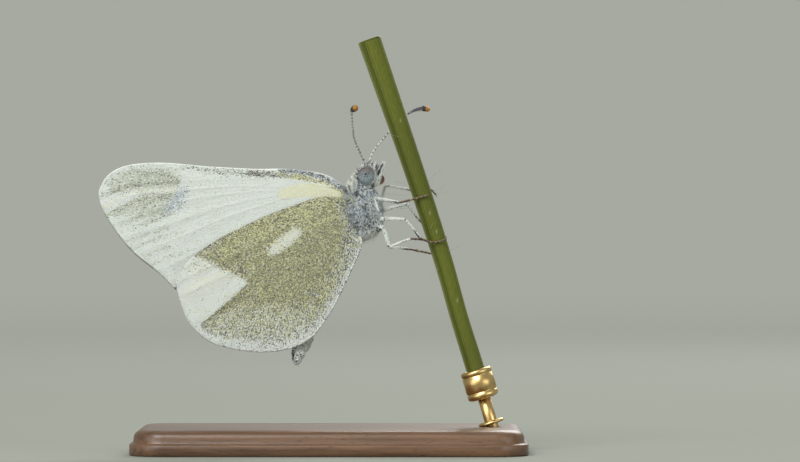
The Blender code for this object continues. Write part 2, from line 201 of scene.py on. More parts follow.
@dataclass
class Form:
    """A triangle mesh in the making.

    Each point is in millimetres, each triangle corner has a UV place, and values holds numbers or colours
    for each point by attribute name.
    """

    points: Array
    triangles: Array
    corners: Array
    values: dict[str, Array] = field(default_factory=dict)

    def outward(self) -> "Form":
        """The form with its triangles turned round if the signed volume under them is negative.

        Returns:
            The form itself.
        """
        a, b, c = (self.points[self.triangles[:, k]] for k in range(3))
        if np.einsum("ij,ij->", a, np.cross(b, c)) < 0:
            self.triangles = self.triangles[:, ::-1]
            self.corners = self.corners[:, ::-1]
        return self

    def painted(self, colours: Array | Colour) -> "Form":
        """The form with a tint for each of its points."""
        self.values["tint"] = np.broadcast_to(np.asarray(colours, float), (len(self.points), 3)).copy()
        return self


def join(forms: list[Form]) -> Form:
    """Several forms as one, their points and triangles listed one after another.

    Args:
        forms: the forms.

    Returns:
        One form with the same attributes.
    """
    starts = np.cumsum([0] + [len(form.points) for form in forms[:-1]])
    return Form(
        np.concatenate([form.points for form in forms]),
        np.concatenate([form.triangles + start for form, start in zip(forms, starts)]),
        np.concatenate([form.corners for form in forms]),
        {key: np.concatenate([form.values[key] for form in forms]) for key in forms[0].values},
    )


def tube(rings: Array) -> Form:
    """A closed tube from a (rows, columns, 3) grid whose last column joins its first.

    Each cell gives two triangles, and each end ring is fanned onto its own middle point.

    Args:
        rings: the rings' points, row after row along the tube.

    Returns:
        The tube with its faces outward.
    """
    rows, columns = rings.shape[:2]
    middles = np.stack([rings[0].mean(0), rings[-1].mean(0)])
    index = np.arange(rows * columns).reshape(rows, columns)
    ahead = np.roll(index, -1, axis=1)
    row, column = (axis / size for axis, size in zip(np.indices((rows, columns)), (rows - 1, columns)))
    places = vectors(column, row)
    beyond = places + (1 / columns, 0.0)
    cells = [(index[:-1], ahead[:-1], ahead[1:]), (index[:-1], ahead[1:], index[1:])]
    halves = [(places[:-1], beyond[:-1], beyond[1:]), (places[:-1], beyond[1:], places[1:])]
    triangles = [np.stack(cell, axis=-1).reshape(-1, 3) for cell in cells]
    corners = [np.stack(half, axis=-2).reshape(-1, 3, 2) for half in halves]
    for end, turn in ((0, 1), (-1, -1)):
        middle = np.full(columns, rows * columns + (end != 0))
        triangles.append(vectors(ahead[end], index[end], middle)[:, ::turn])
        corners.append(np.stack([beyond[end], places[end], places[end]], axis=1)[:, ::turn])
    points = np.concatenate([rings.reshape(-1, 3), middles])
    return Form(points, np.concatenate(triangles), np.concatenate(corners)).outward()


def painted_tube(rings: Array, tint: Array) -> Form:
    """A tube with a tint for each point of its grid, each end's middle point taking its ring's mean."""
    tint = np.broadcast_to(tint, rings.shape)
    return tube(rings).painted(np.concatenate([tint.reshape(-1, 3), [tint[0].mean(0), tint[-1].mean(0)]]))


def rings_along(path: Array, sizes: Array, columns: int, aside: Place = (0.0, 1.0, 0.0)) -> Array:
    """Rings square to a path: path point + size (cos a across + sin a up), where across is path x aside.

    Args:
        path: (rows, 3) points.
        sizes: half sizes, (rows, 1) or (rows, columns) where the section isn't round.
        columns: points in a ring.
        aside: a direction that the path never runs along.

    Returns:
        A (rows, columns, 3) grid.
    """
    along = unit(np.gradient(path, axis=0))
    across = unit(np.cross(along, aside))
    up = np.cross(across, along)
    angle = turns(columns)[None, :, None]
    spokes = np.cos(angle) * across[:, None] + np.sin(angle) * up[:, None]
    return path[:, None] + np.broadcast_to(sizes, (len(path), columns))[..., None] * spokes


def eased(count: int) -> Array:
    """Numbers from 0 to 1, half a cosine wave apart, so that they crowd at both ends."""
    return 0.5 - 0.5 * np.cos(np.linspace(0.0, math.pi, count))


def round_ends(t: Array, share: float) -> Array:
    """A quarter circle up from 0 over the first share of t, 1 in the middle, and the same down at the end."""
    near = np.clip(1 - np.minimum(t, 1 - t) / share, 0.0, 1.0)
    return np.sqrt(np.maximum(1 - near**2, 1e-4))


def sheet(front: Array, back: Array) -> Form:
    """A closed thin sheet: two grids, the second turned over, and a strip round the rim.

    Args:
        front: the (rows, columns, 3) points of one face.
        back: the same of the other face.

    Returns:
        The sheet with its faces outward.
    """
    rows, columns = front.shape[:2]
    index = np.arange(rows * columns).reshape(rows, columns)
    size = (rows, columns)
    places = vectors(*(axis / (number - 1) for axis, number in zip(np.indices(size), size)))
    a, b, c, d = index[:-1, :-1], index[1:, :-1], index[1:, 1:], index[:-1, 1:]
    face = np.concatenate([np.stack(t, axis=-1).reshape(-1, 3) for t in ((a, b, c), (a, c, d))])
    rim = np.concatenate([index[0, :-1], index[:-1, -1], index[-1, :0:-1], index[:0:-1, 0]])
    beyond, lower = np.roll(rim, -1), rows * columns
    strip = [vectors(rim, beyond, beyond + lower), vectors(rim, beyond + lower, rim + lower)]
    triangles = np.concatenate([face, face[:, ::-1] + lower, *strip])
    spots = np.tile(places.reshape(-1, 2), (2, 1))
    points = np.concatenate([front.reshape(-1, 3), back.reshape(-1, 3)])
    return Form(points, triangles, spots[triangles]).outward()


# ---- tufts, scales and hairs


@dataclass
class Roots:
    """Places that tufts grow from: points, outward normals, the way each tuft lies and its UV place."""

    points: Array
    normals: Array
    lie: Array
    places: Array

    def pick(self, chosen: Array) -> "Roots":
        """The chosen roots alone."""
        return Roots(self.points[chosen], self.normals[chosen], self.lie[chosen], self.places[chosen])

    def aimed(self, way: Place) -> "Roots":
        """The roots with each lie as near to one direction as the surface lets it be."""
        return replace(self, lie=flattened(np.asarray(way), self.normals, 0.92))

    def swayed(self, rng: Random, degrees: float) -> "Roots":
        """The roots with each lie turned about its normal by a random angle of that spread.

        Args:
            rng: the random numbers.
            degrees: the spread.

        Returns:
            The turned roots.
        """
        turn = np.radians(degrees) * rng.standard_normal(len(self.points))[:, None]
        lie = np.cos(turn) * self.lie + np.sin(turn) * np.cross(self.normals, self.lie)
        return replace(self, lie=unit(lie))

    def clumped(self, rng: Random, count: int, reach: float, meet: float = 0.45) -> "Roots":
        """Each root as a clump of roots, whose tufts lean together and meet at their tips.

        Args:
            rng: the random numbers.
            count: how many roots stand in a clump.
            reach: the spread of a clump in millimetres.
            meet: how far from the surface a clump's tufts meet, in millimetres.

        Returns:
            The clumps' roots.
        """
        if count == 1:
            return self
        index = np.repeat(np.arange(len(self.points)), count)
        each = self.pick(index)
        offset = rng.normal(0.0, reach, each.points.shape)
        offset -= (offset * each.normals).sum(-1, keepdims=True) * each.normals
        return replace(each, points=each.points + offset, lie=unit(each.lie - offset / meet))


@dataclass(frozen=True)
class Tuft:
    """The pattern of one closed tuft: (along, across, up) points for a length and a width of 1."""

    points: Array
    triangles: Array

    def grow(self, roots: Roots, length: Array, width: Array, lift: Array, curl: Array, shade: Array) -> Form:
        """A tuft at each root.

        A pattern point moves along the lie by length times along, sideways by width times across, and
        outwards by width times up, plus the rise of the lift angle and of the curl times along squared.

        Args:
            roots: where the tufts grow.
            length: each tuft's length in millimetres.
            width: each tuft's width in millimetres.
            lift: each tuft's angle off the surface in radians.
            curl: how far each tip curls outwards, as a share of its length.
            shade: a number from 0 to 1 for each tuft, which its finish reads.

        Returns:
            All tufts as one form.
        """
        along, across, up = (self.points[None, :, k, None] for k in range(3))
        sideways = np.cross(roots.normals, roots.lie)[:, None]
        length, width, lift, curl = (np.asarray(v, float)[:, None, None] for v in (length, width, lift, curl))
        forward = roots.lie[:, None] * length * along * np.cos(lift)
        rise = length * (along * np.sin(lift) + curl * along**2) + width * up
        points = roots.points[:, None] + forward + sideways * width * across + roots.normals[:, None] * rise
        count, size = len(roots.points), len(self.points)
        triangles = self.triangles[None] + size * np.arange(count)[:, None, None]
        spots = roots.places[:, None] + PATCH * (self.points[None, :, 1::-1] - (0.0, 0.5))
        values = {"shade": np.repeat(shade, size)}
        flat = triangles.reshape(-1, 3)
        return Form(points.reshape(-1, 3), flat, np.clip(spots, 0.0, 1.0).reshape(-1, 2)[flat], values)


def tongue(outline: Line, middle: float, rise: float) -> Tuft:
    """A flat tuft: its outline fanned from a raised middle point above, and from its root below.

    Args:
        outline: (along, across) points, the root first.
        middle: how far along the middle point lies.
        rise: how high the middle point stands.

    Returns:
        The pattern.
    """
    count = len(outline)
    points = [(along, across, 0.0) for along, across in outline] + [(middle, 0.0, rise)]
    top = [(count, k, (k + 1) % count) for k in range(count)]
    under = [(0, k + 1, k) for k in range(1, count - 1)]
    return Tuft(np.array(points), np.array(top + under))


def thin_hair() -> Tuft:
    """A three-sided hair: three rings that shrink towards the tip.

    Returns:
        The pattern.
    """
    stations = ((0.0, 0.5), (0.4, 0.42), (0.75, 0.28))
    angles = [FULL_TURN * k / 3 for k in range(3)]
    points = [(along, radius * math.cos(a), radius * math.sin(a)) for along, radius in stations for a in angles]
    sides = [(3 * r + k, 3 * r + (k + 1) % 3, 3 * r + 3 + (k + 1) % 3) for r in range(2) for k in range(3)]
    sides += [(3 * r + k, 3 * r + 3 + (k + 1) % 3, 3 * r + 3 + k) for r in range(2) for k in range(3)]
    tip = [(6 + k, 6 + (k + 1) % 3, 9) for k in range(3)]
    return Tuft(np.array(points + [(1.0, 0.0, 0.0)]), np.array(sides + tip + [(2, 1, 0)]))


SCALE = tongue(((0.0, 0.0), (0.35, -0.5), (0.85, -0.42), (1.0, 0.0), (0.85, 0.42), (0.35, 0.5)), 0.55, 0.14)
PADDLE = tongue(((0.0, 0.0), (0.7, -0.5), (1.0, -0.22), (1.0, 0.22), (0.7, 0.5)), 0.6, 0.1)
HAIR = thin_hair()


@dataclass(frozen=True)
class Growth:
    """How one kind of tuft grows: its size, its lift and their spread."""

    tuft: Tuft
    length: float
    width: float
    lift: float  # degrees
    curl: float = 0.0
    spread: float = 0.2
    sway: float = 12.0  # degrees

    def grow(self, roots: Roots, rng: Random, stretch: Array | float = 1.0) -> Form:
        """Tufts at the roots, with each size varied at random by the spread.

        Args:
            roots: where they grow.
            rng: the random numbers.
            stretch: a factor on each tuft's length.

        Returns:
            All tufts as one form.
        """
        count = len(roots.points)
        vary = 1 + self.spread * np.clip(rng.standard_normal((4, count)), -2, 2)
        lift = np.radians(self.lift) * vary[2]
        length = self.length * vary[0] * stretch
        swayed = roots.swayed(rng, self.sway)
        width, curl = self.width * vary[1], self.curl * vary[3]
        return self.tuft.grow(swayed, length, width, lift, curl, rng.random(count))


@dataclass
class Ground:
    """A closed grid surface that tufts grow on, whose last column joins its first."""

    grid: Array

    def frames(self) -> tuple[Array, Array]:
        """Outward unit normals and unit directions along the rows, by central differences.

        Returns:
            Both, for each grid point.
        """
        along = np.gradient(self.grid, axis=0)
        around = np.roll(self.grid, -1, axis=1) - np.roll(self.grid, 1, axis=1)
        normals = unit(np.cross(along, around))
        spokes = self.grid - self.grid.mean(axis=1, keepdims=True)
        normals *= np.sign((normals * spokes).sum(-1, keepdims=True).mean(axis=(0, 1), keepdims=True))
        return normals, unit(along)

    def cells(self) -> Array:
        """The middle of each cell, (rows - 1, columns, 3)."""
        ahead = np.roll(self.grid, -1, axis=1)
        return (self.grid[:-1] + self.grid[1:] + ahead[:-1] + ahead[1:]) / 4

    def scatter(self, rng: Random, count: int, weight: Array | float = 1.0, way: float = -1.0) -> Roots:
        """Roots spread evenly over the surface, as many in a cell as its area times its weight asks for.

        Args:
            rng: the random numbers.
            count: how many roots.
            weight: a factor for each cell.
            way: 1 if tufts lie along the rows' direction, -1 if against it.

        Returns:
            The roots.
        """
        normals, along = self.frames()
        ahead = np.roll(self.grid, -1, axis=1)
        areas = np.linalg.norm(np.cross(self.grid[1:] - ahead[:-1], ahead[1:] - self.grid[:-1]), axis=-1)
        total = np.cumsum((areas * weight).ravel())
        wanted = (np.arange(count) + rng.random(count)) / count * total[-1]
        cell = np.minimum(np.searchsorted(total, wanted), len(total) - 1)
        row, column = np.divmod(cell, self.grid.shape[1])
        s, t = rng.random((2, count))
        beyond = (column + 1) % self.grid.shape[1]

        def mixed(values: Array) -> Array:
            """The values at the roots, weighed by nearness to the corners of their cells."""
            low, high = (blend(values[r, column], values[r, beyond], t[:, None]) for r in (row, row + 1))
            return blend(low, high, s[:, None])

        places = vectors((column + t) / self.grid.shape[1], (row + s) / (len(self.grid) - 1))
        outwards = unit(mixed(normals))
        return Roots(mixed(self.grid), outwards, flattened(mixed(along) * way, outwards), places)


# ---- finishes


class Recipe:
    """One material's nodes, with a short call for each kind that the finishes use."""

    def __init__(self, name: str, roughness: float, specular: float = 0.3, **sockets: float) -> None:
        """A material with its shader's plain numbers set.

        Args:
            name: the material's name.
            roughness: the shader's roughness.
            specular: the shader's specular level.
            sockets: other numbers of the shader, by socket name with _ for a space.
        """
        self.material = bpy.data.materials.new(name)
        self.material.use_nodes = True
        self.tree = self.material.node_tree
        self.shader = self.tree.nodes["Principled BSDF"]
        for key, value in {"Roughness": roughness, "Specular_IOR_Level": specular, **sockets}.items():
            self.shader.inputs[key.replace("_", " ")].default_value = value

    def put(self, value: object, socket: object) -> None:
        """Links a socket to another node's, or sets its number or colour.

        Args:
            value: a socket, a number or a colour.
            socket: the input that takes it.
        """
        if isinstance(value, bpy.types.NodeSocket):
            self.tree.links.new(value, socket)
        else:
            socket.default_value = value

    def node(self, kind: str, output: int | str, *values: object, **named: object) -> object:
        """A new node's output socket.

        Args:
            kind: the node's type without ShaderNode.
            output: which output to return.
            values: numbers or sockets for its first inputs.
            named: the same for inputs by name, with _ for a space, and the node's own properties, whose
                names start with a small letter.

        Returns:
            The output socket.
        """
        made = self.tree.nodes.new("ShaderNode" + kind)
        for key in [key for key in named if key[0].islower()]:
            setattr(made, key, named.pop(key))
        for key, value in [*enumerate(values), *named.items()]:
            self.put(value, made.inputs[key if isinstance(key, int) else key.replace("_", " ")])
        return made.outputs[output]

    def position(self, stretch: Place = (1.0, 1.0, 1.0), turn: Place = (0.0, 0.0, 0.0)) -> object:
        """Object coordinates in millimetres, turned and then stretched."""
        turned = self.node("Mapping", 0, Vector=self.node("TexCoord", "Object"), Rotation=turn)
        return self.node("Mapping", 0, Vector=turned, Scale=tuple(s / MM for s in stretch))

    def noise(self, size: float, detail: float = 3.0, where: object = None, rough: float = 0.5) -> object:
        """Noise from 0 to 1 whose lumps are about size millimetres across."""
        place = where or self.position()
        return self.node("TexNoise", 0, Vector=place, Scale=1 / size, Detail=detail, Roughness=rough)

    def attribute(self, name: str, output: str = "Color") -> object:
        """The piece's own attribute."""
        return self.node("Attribute", output, attribute_name=name)

    def between(self, value: object, low: float, high: float) -> object:
        """0 where the value is below low, 1 above high, and even in between."""
        return self.node("MapRange", 0, value, low, high)

    def mix(self, share: object, first: object, second: object, kind: str = "MIX") -> object:
        """The second colour over the first, by share."""
        first, second = ((*c, 1.0) if isinstance(c, tuple) else c for c in (first, second))
        return self.node("MixRGB", 0, share, first, second, blend_type=kind)

    def sum(self, first: object, second: object, work: str = "ADD") -> object:
        """Two numbers put together by a Math node."""
        return self.node("Math", 0, first, second, operation=work)

    def colour(self, value: object) -> None:
        """Sets the base colour."""
        self.put(value, self.shader.inputs["Base Color"])

    def bump(self, height: object, depth: float, strength: float = 1.0) -> None:
        """Sets a bump whose full height is depth millimetres."""
        made = self.node("Bump", 0, Height=height, Distance=depth * MM, Strength=strength)
        self.put(made, self.shader.inputs["Normal"])

    def rough(self, value: object, low: float, high: float) -> None:
        """Sets a roughness that runs from low to high with the value."""
        self.put(self.node("MapRange", 0, value, To_Min=low, To_Max=high), self.shader.inputs["Roughness"])


@dataclass(frozen=True)
class TuftFinish:
    """Scales or hairs: each tuft has its own shade between two colours, with a finer grain over it."""

    name: str
    dull: Colour
    bright: Colour
    roughness: float = 0.62
    sheen: float = 0.15
    grain: float = 0.05

    @property
    def mean(self) -> Array:
        """The colour halfway between the two."""
        return (np.array(self.dull) + np.array(self.bright)) / 2

    def material(self) -> bpy.types.Material:
        """The finish's nodes.

        Returns:
            The material.
        """
        recipe = Recipe(self.name, self.roughness, 0.25, Sheen_Weight=self.sheen, Sheen_Roughness=0.5)
        own = recipe.mix(recipe.attribute("shade", "Fac"), self.dull, self.bright)
        grain = recipe.noise(self.grain, 2.0)
        paler = recipe.mix(0.35, own, self.bright)
        recipe.colour(recipe.mix(recipe.between(grain, 0.2, 0.9), own, paler))
        recipe.bump(grain, 0.004)
        return recipe.material


@dataclass(frozen=True)
class PaintedFinish:
    """A surface that carries its piece's own tint, speckled by a fine grain and slightly rough."""

    name: str
    roughness: float = 0.6
    grain: float = 0.06
    dark: float = 0.75
    bump: float = 0.006
    specular: float = 0.3
    stretch: Place = (1.0, 1.0, 1.0)
    coat: float = 0.0

    def material(self) -> bpy.types.Material:
        """The finish's nodes.

        Returns:
            The material.
        """
        recipe = Recipe(self.name, self.roughness, self.specular, Coat_Weight=self.coat)
        grain = recipe.noise(self.grain, 4.0, recipe.position(self.stretch), 0.6)
        shade = recipe.between(grain, 0.3, 0.7)
        low = (self.dark,) * 3
        shades = recipe.mix(shade, low, (1.0, 1.0, 1.0))
        recipe.colour(recipe.mix(1.0, recipe.attribute("tint"), shades, "MULTIPLY"))
        recipe.bump(grain, self.bump)
        recipe.rough(shade, min(1.0, self.roughness + 0.12), self.roughness - 0.08)
        return recipe.material


@dataclass(frozen=True)
class EyeFinish:
    """A glossy compound eye: blue-grey below, brown above, mottled, with dark false pupils and fine facets."""

    name: str
    centre: Place
    crown: Colour = (0.12, 0.09, 0.084)
    middle: Colour = (0.13, 0.15, 0.172)
    low: Colour = (0.2, 0.25, 0.275)
    fleck: Colour = (0.3, 0.29, 0.24)
    pupil: Colour = (0.01, 0.006, 0.008)
    pupil_size: float = 0.11
    ring: float = 0.27
    facet: float = 0.028

    def material(self) -> bpy.types.Material:
        """A colour by height, and over it a dark spot within reach of each false pupil.

        Returns:
            The material.
        """
        recipe = Recipe(self.name, 0.42, 0.28, Coat_Weight=0.1, Coat_Roughness=0.25)
        place = recipe.position()
        x, z = (recipe.node("SeparateXYZ", axis, place) for axis in "XZ")
        base = self.centre[2]
        colour = recipe.mix(recipe.between(z, base - 0.45, base + 0.05), self.low, self.middle)
        colour = recipe.mix(recipe.between(z, base + 0.05, base + 0.5), colour, self.crown)
        freckle = recipe.noise(0.09, 3.0)
        colour = recipe.mix(recipe.between(freckle, 0.52, 0.66), colour, recipe.mix(0.62, colour, self.pupil))
        pale = recipe.noise(0.12, 3.0, recipe.position((1.0, 1.0, 1.2), (0.5, 0.0, 0.0)))
        colour = recipe.mix(recipe.between(pale, 0.54, 0.68), colour, recipe.mix(0.55, colour, self.fleck))
        flat = recipe.node("CombineXYZ", 0, X=x, Z=z)
        ring = [math.radians(60 * k + 10) for k in range(6)]
        spots = [(0.0, 0.0, 1.0, 0.95), *((math.cos(turn), math.sin(turn), 0.62, 0.62) for turn in ring)]
        for out_x, out_z, share, strength in spots:
            dot = (self.centre[0] + self.ring * out_x, 0.0, self.centre[2] + self.ring * out_z)
            gap = recipe.node("VectorMath", "Value", flat, dot, operation="DISTANCE")
            near = recipe.between(gap, share * self.pupil_size * 1.5, share * self.pupil_size * 0.6)
            colour = recipe.mix(recipe.sum(near, strength, "MULTIPLY"), colour, self.pupil)
        recipe.colour(colour)
        cells = recipe.node("TexVoronoi", "Distance", Vector=place, Scale=1 / self.facet, Randomness=0.25)
        recipe.bump(recipe.between(cells, 0.7, 0.0), 0.006, 0.6)
        return recipe.material


@dataclass(frozen=True)
class WoodFinish:
    """Dark stained wood: long wavering grain, fine pores and a satin varnish."""

    name: str
    light: Colour
    dark: Colour

    def material(self) -> bpy.types.Material:
        """The finish's nodes.

        Returns:
            The material.
        """
        recipe = Recipe(self.name, 0.4, 0.4, Coat_Weight=0.25, Coat_Roughness=0.25)
        long = recipe.position((0.06, 1.0, 1.0))
        sway = recipe.noise(2.2, 4.0, long)
        lines = recipe.noise(0.35, 5.0, long, 0.65)
        pores = recipe.noise(0.09, 2.0, recipe.position((0.12, 1.0, 1.0)))
        share = recipe.sum(recipe.sum(sway, 0.55, "MULTIPLY"), recipe.sum(lines, 0.45, "MULTIPLY"))
        colour = recipe.mix(recipe.between(share, 0.38, 0.62), self.dark, self.light)
        pits = recipe.between(pores, 0.62, 0.72)
        recipe.colour(recipe.mix(pits, colour, recipe.mix(0.6, colour, (0.01, 0.006, 0.004))))
        recipe.bump(recipe.sum(lines, recipe.sum(pits, -0.6, "MULTIPLY")), 0.02, 0.7)
        recipe.rough(lines, 0.34, 0.5)
        return recipe.material


@dataclass(frozen=True)
class BrassFinish:
    """Turned satin brass: fine rings round the axis and a faint tarnish."""

    name: str
    colour: Colour
    tarnish: Colour

    def material(self) -> bpy.types.Material:
        """The finish's nodes.

        Returns:
            The material.
        """
        recipe = Recipe(self.name, 0.3, 0.5, Metallic=1.0)
        cloud = recipe.noise(0.7, 4.0)
        rings = recipe.noise(0.03, 2.0, recipe.position((0.05, 0.05, 1.0), (0.0, -0.3, 0.0)))
        recipe.colour(recipe.mix(recipe.between(cloud, 0.45, 0.75), self.colour, self.tarnish))
        recipe.bump(rings, 0.003)
        recipe.rough(cloud, 0.24, 0.42)
        return recipe.material


@dataclass(frozen=True)
class FloorFinish:
    """A matt floor that fades, with the logarithm of the distance, into the even light of the surroundings."""

    name: str
    colour: Colour
    glow: Colour
    near: float
    far: float

    def material(self) -> bpy.types.Material:
        """The finish's nodes.

        Returns:
            The material.
        """
        recipe = Recipe(self.name, 0.9, 0.1)
        mottle = recipe.noise(40.0, 3.0)
        darker = tuple(0.98 * c for c in self.colour)
        recipe.colour(recipe.mix(recipe.between(mottle, 0.3, 0.7), self.colour, darker))
        reach = recipe.node("VectorMath", "Value", recipe.position(), operation="LENGTH")
        log = recipe.sum(reach, 2.0, "LOGARITHM")
        ends = math.log2(self.near), math.log2(self.far)
        share = recipe.node("MapRange", 0, log, *ends, interpolation_type="SMOOTHERSTEP")
        glow = recipe.node("Emission", 0, Color=(*self.glow, 1.0), Strength=1.0)
        mixed = recipe.node("MixShader", 0, share, recipe.shader.outputs[0], glow)
        recipe.put(mixed, recipe.tree.nodes["Material Output"].inputs["Surface"])
        return recipe.material


class Tone(Worded):
    """The colours of scale that mix into every marking of wings, body and legs."""

    WHITE = TuftFinish("white_scales", (0.69, 0.73, 0.7), (0.78, 0.82, 0.79))
    CREAM = TuftFinish("cream_scales", (0.57, 0.56, 0.27), (0.75, 0.74, 0.42))
    IVORY = TuftFinish("ivory_scales", (0.7, 0.715, 0.52), (0.82, 0.83, 0.64))
    SAGE = TuftFinish("sage_scales", (0.42, 0.455, 0.37), (0.56, 0.6, 0.5))
    OLIVE = TuftFinish("olive_scales", (0.24, 0.245, 0.135), (0.38, 0.385, 0.23))
    BLUE = TuftFinish("blue_grey_scales", (0.3, 0.345, 0.4), (0.47, 0.53, 0.6))
    BROWN = TuftFinish("brown_scales", (0.12, 0.09, 0.075), (0.24, 0.19, 0.16))
    DARK = TuftFinish("dark_scales", (0.035, 0.035, 0.036), (0.1, 0.1, 0.098))


Mix = dict[Tone, float]
FINISHES: dict[str, bpy.types.Material] = {}


def dress(finish: object) -> bpy.types.Material:
    """The finish's material, made once.

    Args:
        finish: one of the finishes.

    Returns:
        Its material.
    """
    if finish.name not in FINISHES:
        FINISHES[finish.name] = finish.material()
    return FINISHES[finish.name]


def add_piece(
    name: str, form: Form, finish: object, replaced: tuple[str, ...] = (), coat: bool = False
) -> None:
    """Makes a form into a piece of the model that rides on its body.

    Args:
        name: the piece's name.
        form: its mesh.
        finish: its finish.
        replaced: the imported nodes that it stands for.
        coat: whether its UV map is the coat's own, with a patch for each tuft.
    """
    mesh = bpy.data.meshes.new(name)
    mesh.vertices.add(len(form.points))
    mesh.vertices.foreach_set("co", (form.points * MM).astype(np.float32).ravel())
    mesh.loops.add(form.triangles.size)
    mesh.loops.foreach_set("vertex_index", form.triangles.astype(np.int32).ravel())
    mesh.polygons.add(len(form.triangles))
    mesh.polygons.foreach_set("loop_start", np.arange(0, form.triangles.size, 3, dtype=np.int32))
    mesh.update(calc_edges=True)
    layer = mesh.uv_layers.new(name="OFBake" if coat else "UVMap")
    layer.data.foreach_set("uv", form.corners.astype(np.float32).ravel())
    for key, value in form.values.items():
        if value.ndim == 1:
            mesh.attributes.new(key, "FLOAT", "POINT").data.foreach_set("value", value.astype(np.float32))
        else:
            colours = np.column_stack([value, np.ones(len(value))]).astype(np.float32)
            mesh.attributes.new(key, "FLOAT_COLOR", "POINT").data.foreach_set("color", colours.ravel())
    mesh.materials.append(dress(finish))
    if not coat:
        mesh.shade_smooth()
    piece = bpy.data.objects.new(name, mesh)
    bpy.context.scene.collection.objects.link(piece)
    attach(piece, BODY)
    if replaced:
        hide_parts(*replaced)
    logging.info("%s: %d triangles", name, len(form.triangles))


def add_two_tones(
    name: str,
    growth: Growth,
    roots: Roots,
    dark: Array,
    rng: Random,
    black: TuftFinish = Tone.DARK.value,
) -> None:
    """Tufts in two pieces, one dark and one white.

    Args:
        name: the pieces' name, before their tone.
        growth: how they grow.
        roots: where they grow.
        dark: which roots carry dark tufts.
        rng: the random numbers.
        black: the dark tufts' finish.
    """
    for chosen, finish, word in ((dark, black, "dark"), (~dark, Tone.WHITE.value, "white")):
        add_piece(f"{name}_{word}", growth.grow(roots.pick(chosen), rng), finish, coat=True)


# ---- markings


@dataclass(frozen=True)
class Streak:
    """A marking along a line of (x, z, half width) points, with a soft edge."""

    line: Line
    soft: float
    mix: Mix
    cover: float

    def mask(self, x: Array, z: Array) -> Array:
        """cover where the distance from the line is under the half width, falling to 0 over the soft edge.

        Args:
            x: the points' first coordinates.
            z: their third coordinates.

        Returns:
            The share that the marking covers.
        """
        line = smooth_path(self.line, 4 * len(self.line))
        gap, along = off_line(x, z, line)
        half = np.interp(along, np.linspace(0.0, 1.0, len(line)), line[:, 2])
        return self.cover * (1 - ramp(-self.soft, self.soft, gap - half))


@dataclass(frozen=True)
class Wedge:
    """A marking on the left of every one of its edges, each (x0, z0, x1, z1, softness)."""

    edges: tuple[Place, ...]
    mix: Mix
    cover: float

    def mask(self, x: Array, z: Array) -> Array:
        """cover times the product, over the edges, of a smooth step across each.

        Args:
            x: the points' first coordinates.
            z: their third coordinates.

        Returns:
            The share that the marking covers.
        """
        mask = np.full(np.shape(x), self.cover)
        for x0, z0, x1, z1, soft in self.edges:
            across = ((x1 - x0) * (z - z0) - (z1 - z0) * (x - x0)) / math.hypot(x1 - x0, z1 - z0)
            mask = mask * ramp(-soft, soft, across)
        return mask


@dataclass(frozen=True)
class Rays:
    """Faint grey streaks, painted shade of the wing's pleat troughs, that fan out from a point and grow clearer
    with the distance from it.
    """

    centre: Place
    reach: Place
    count: float
    mix: Mix
    cover: float

    def mask(self, x: Array, z: Array) -> Array:
        """cover times a smooth step of the distance, times half plus two sines of the angle.

        Args:
            x: the points' first coordinates.
            z: their third coordinates.

        Returns:
            The share that the marking covers.
        """
        x, z = x - self.centre[0], z - self.centre[1]
        turn = self.count * np.arctan2(z, -x)
        waves = np.clip(0.5 + 0.3 * np.sin(turn) + 0.2 * np.sin(2.7 * turn + 1.3), 0.0, 1.0)
        return self.cover * ramp(*self.reach, np.hypot(x, z)) * waves


@dataclass(frozen=True)
class Markings:
    """A ground mix of tones and the markings laid over it, one after another."""

    ground: Mix
    layers: tuple[Streak | Wedge | Rays, ...] = ()

    def shares(self, x: Array, z: Array) -> Array:
        """The share of each tone at each point: every layer's mix covers what is under it by its mask.

        Args:
            x: the points' first coordinates.
            z: their third coordinates.

        Returns:
            Shares that sum to 1, in the order of Tone.
        """
        mixes = (self.ground, *(layer.mix for layer in self.layers))
        rows = [np.array([mix.get(tone, 0.0) for tone in Tone]) for mix in mixes]
        shares = np.broadcast_to(rows[0], (*np.shape(x), len(Tone)))
        for layer, row in zip(self.layers, rows[1:]):
            mask = layer.mask(x, z)[..., None]
            shares = (1 - mask) * shares + mask * row / row.sum()
        return shares / shares.sum(-1, keepdims=True)

    def tint(self, x: Array, z: Array) -> Array:
        """The colour at each point: the tones' mean colours weighed by their shares."""
        return self.shares(x, z) @ np.array([tone.value.mean for tone in Tone])

    def draw(self, rng: Random, x: Array, z: Array) -> Array:
        """A tone's number for each point, drawn with the shares as its chances."""
        limits = np.cumsum(self.shares(x, z), axis=-1)
        return (rng.random(len(x))[:, None] > limits).sum(-1).clip(0, len(Tone) - 1)


# ---- wings


@dataclass(frozen=True)
class WingPlan:
    """One pair of wings: outline, veins and markings, in (x, z), shared by both sides."""

    name: str
    hind: Line
    costa: Line
    root: Line
    margin: Line
    plane: float
    fan: Place
    veins: tuple[Line, ...]
    under: Markings
    upper: Markings
    body_flare: float = 0.0

    def outline(self, inset: float = 0.0) -> Array:
        """The closed outline, pulled in by inset at the costa, hind edge and margin.

        Args:
            inset: how far, in millimetres.

        Returns:
            The outline's (x, z) points.
        """
        sides = [smooth_path(line, 60) for line in (self.hind, self.margin, self.costa[::-1], self.root[::-1])]
        loop = np.concatenate([side[:-1] for side in sides])
        along = unit(np.roll(loop, -1, axis=0) - np.roll(loop, 1, axis=0))
        across = vectors(-along[:, 1], along[:, 0])
        inward = across if inside(*(loop + 0.05 * across).T, loop).mean() > 0.5 else -across
        return loop + inset * inward


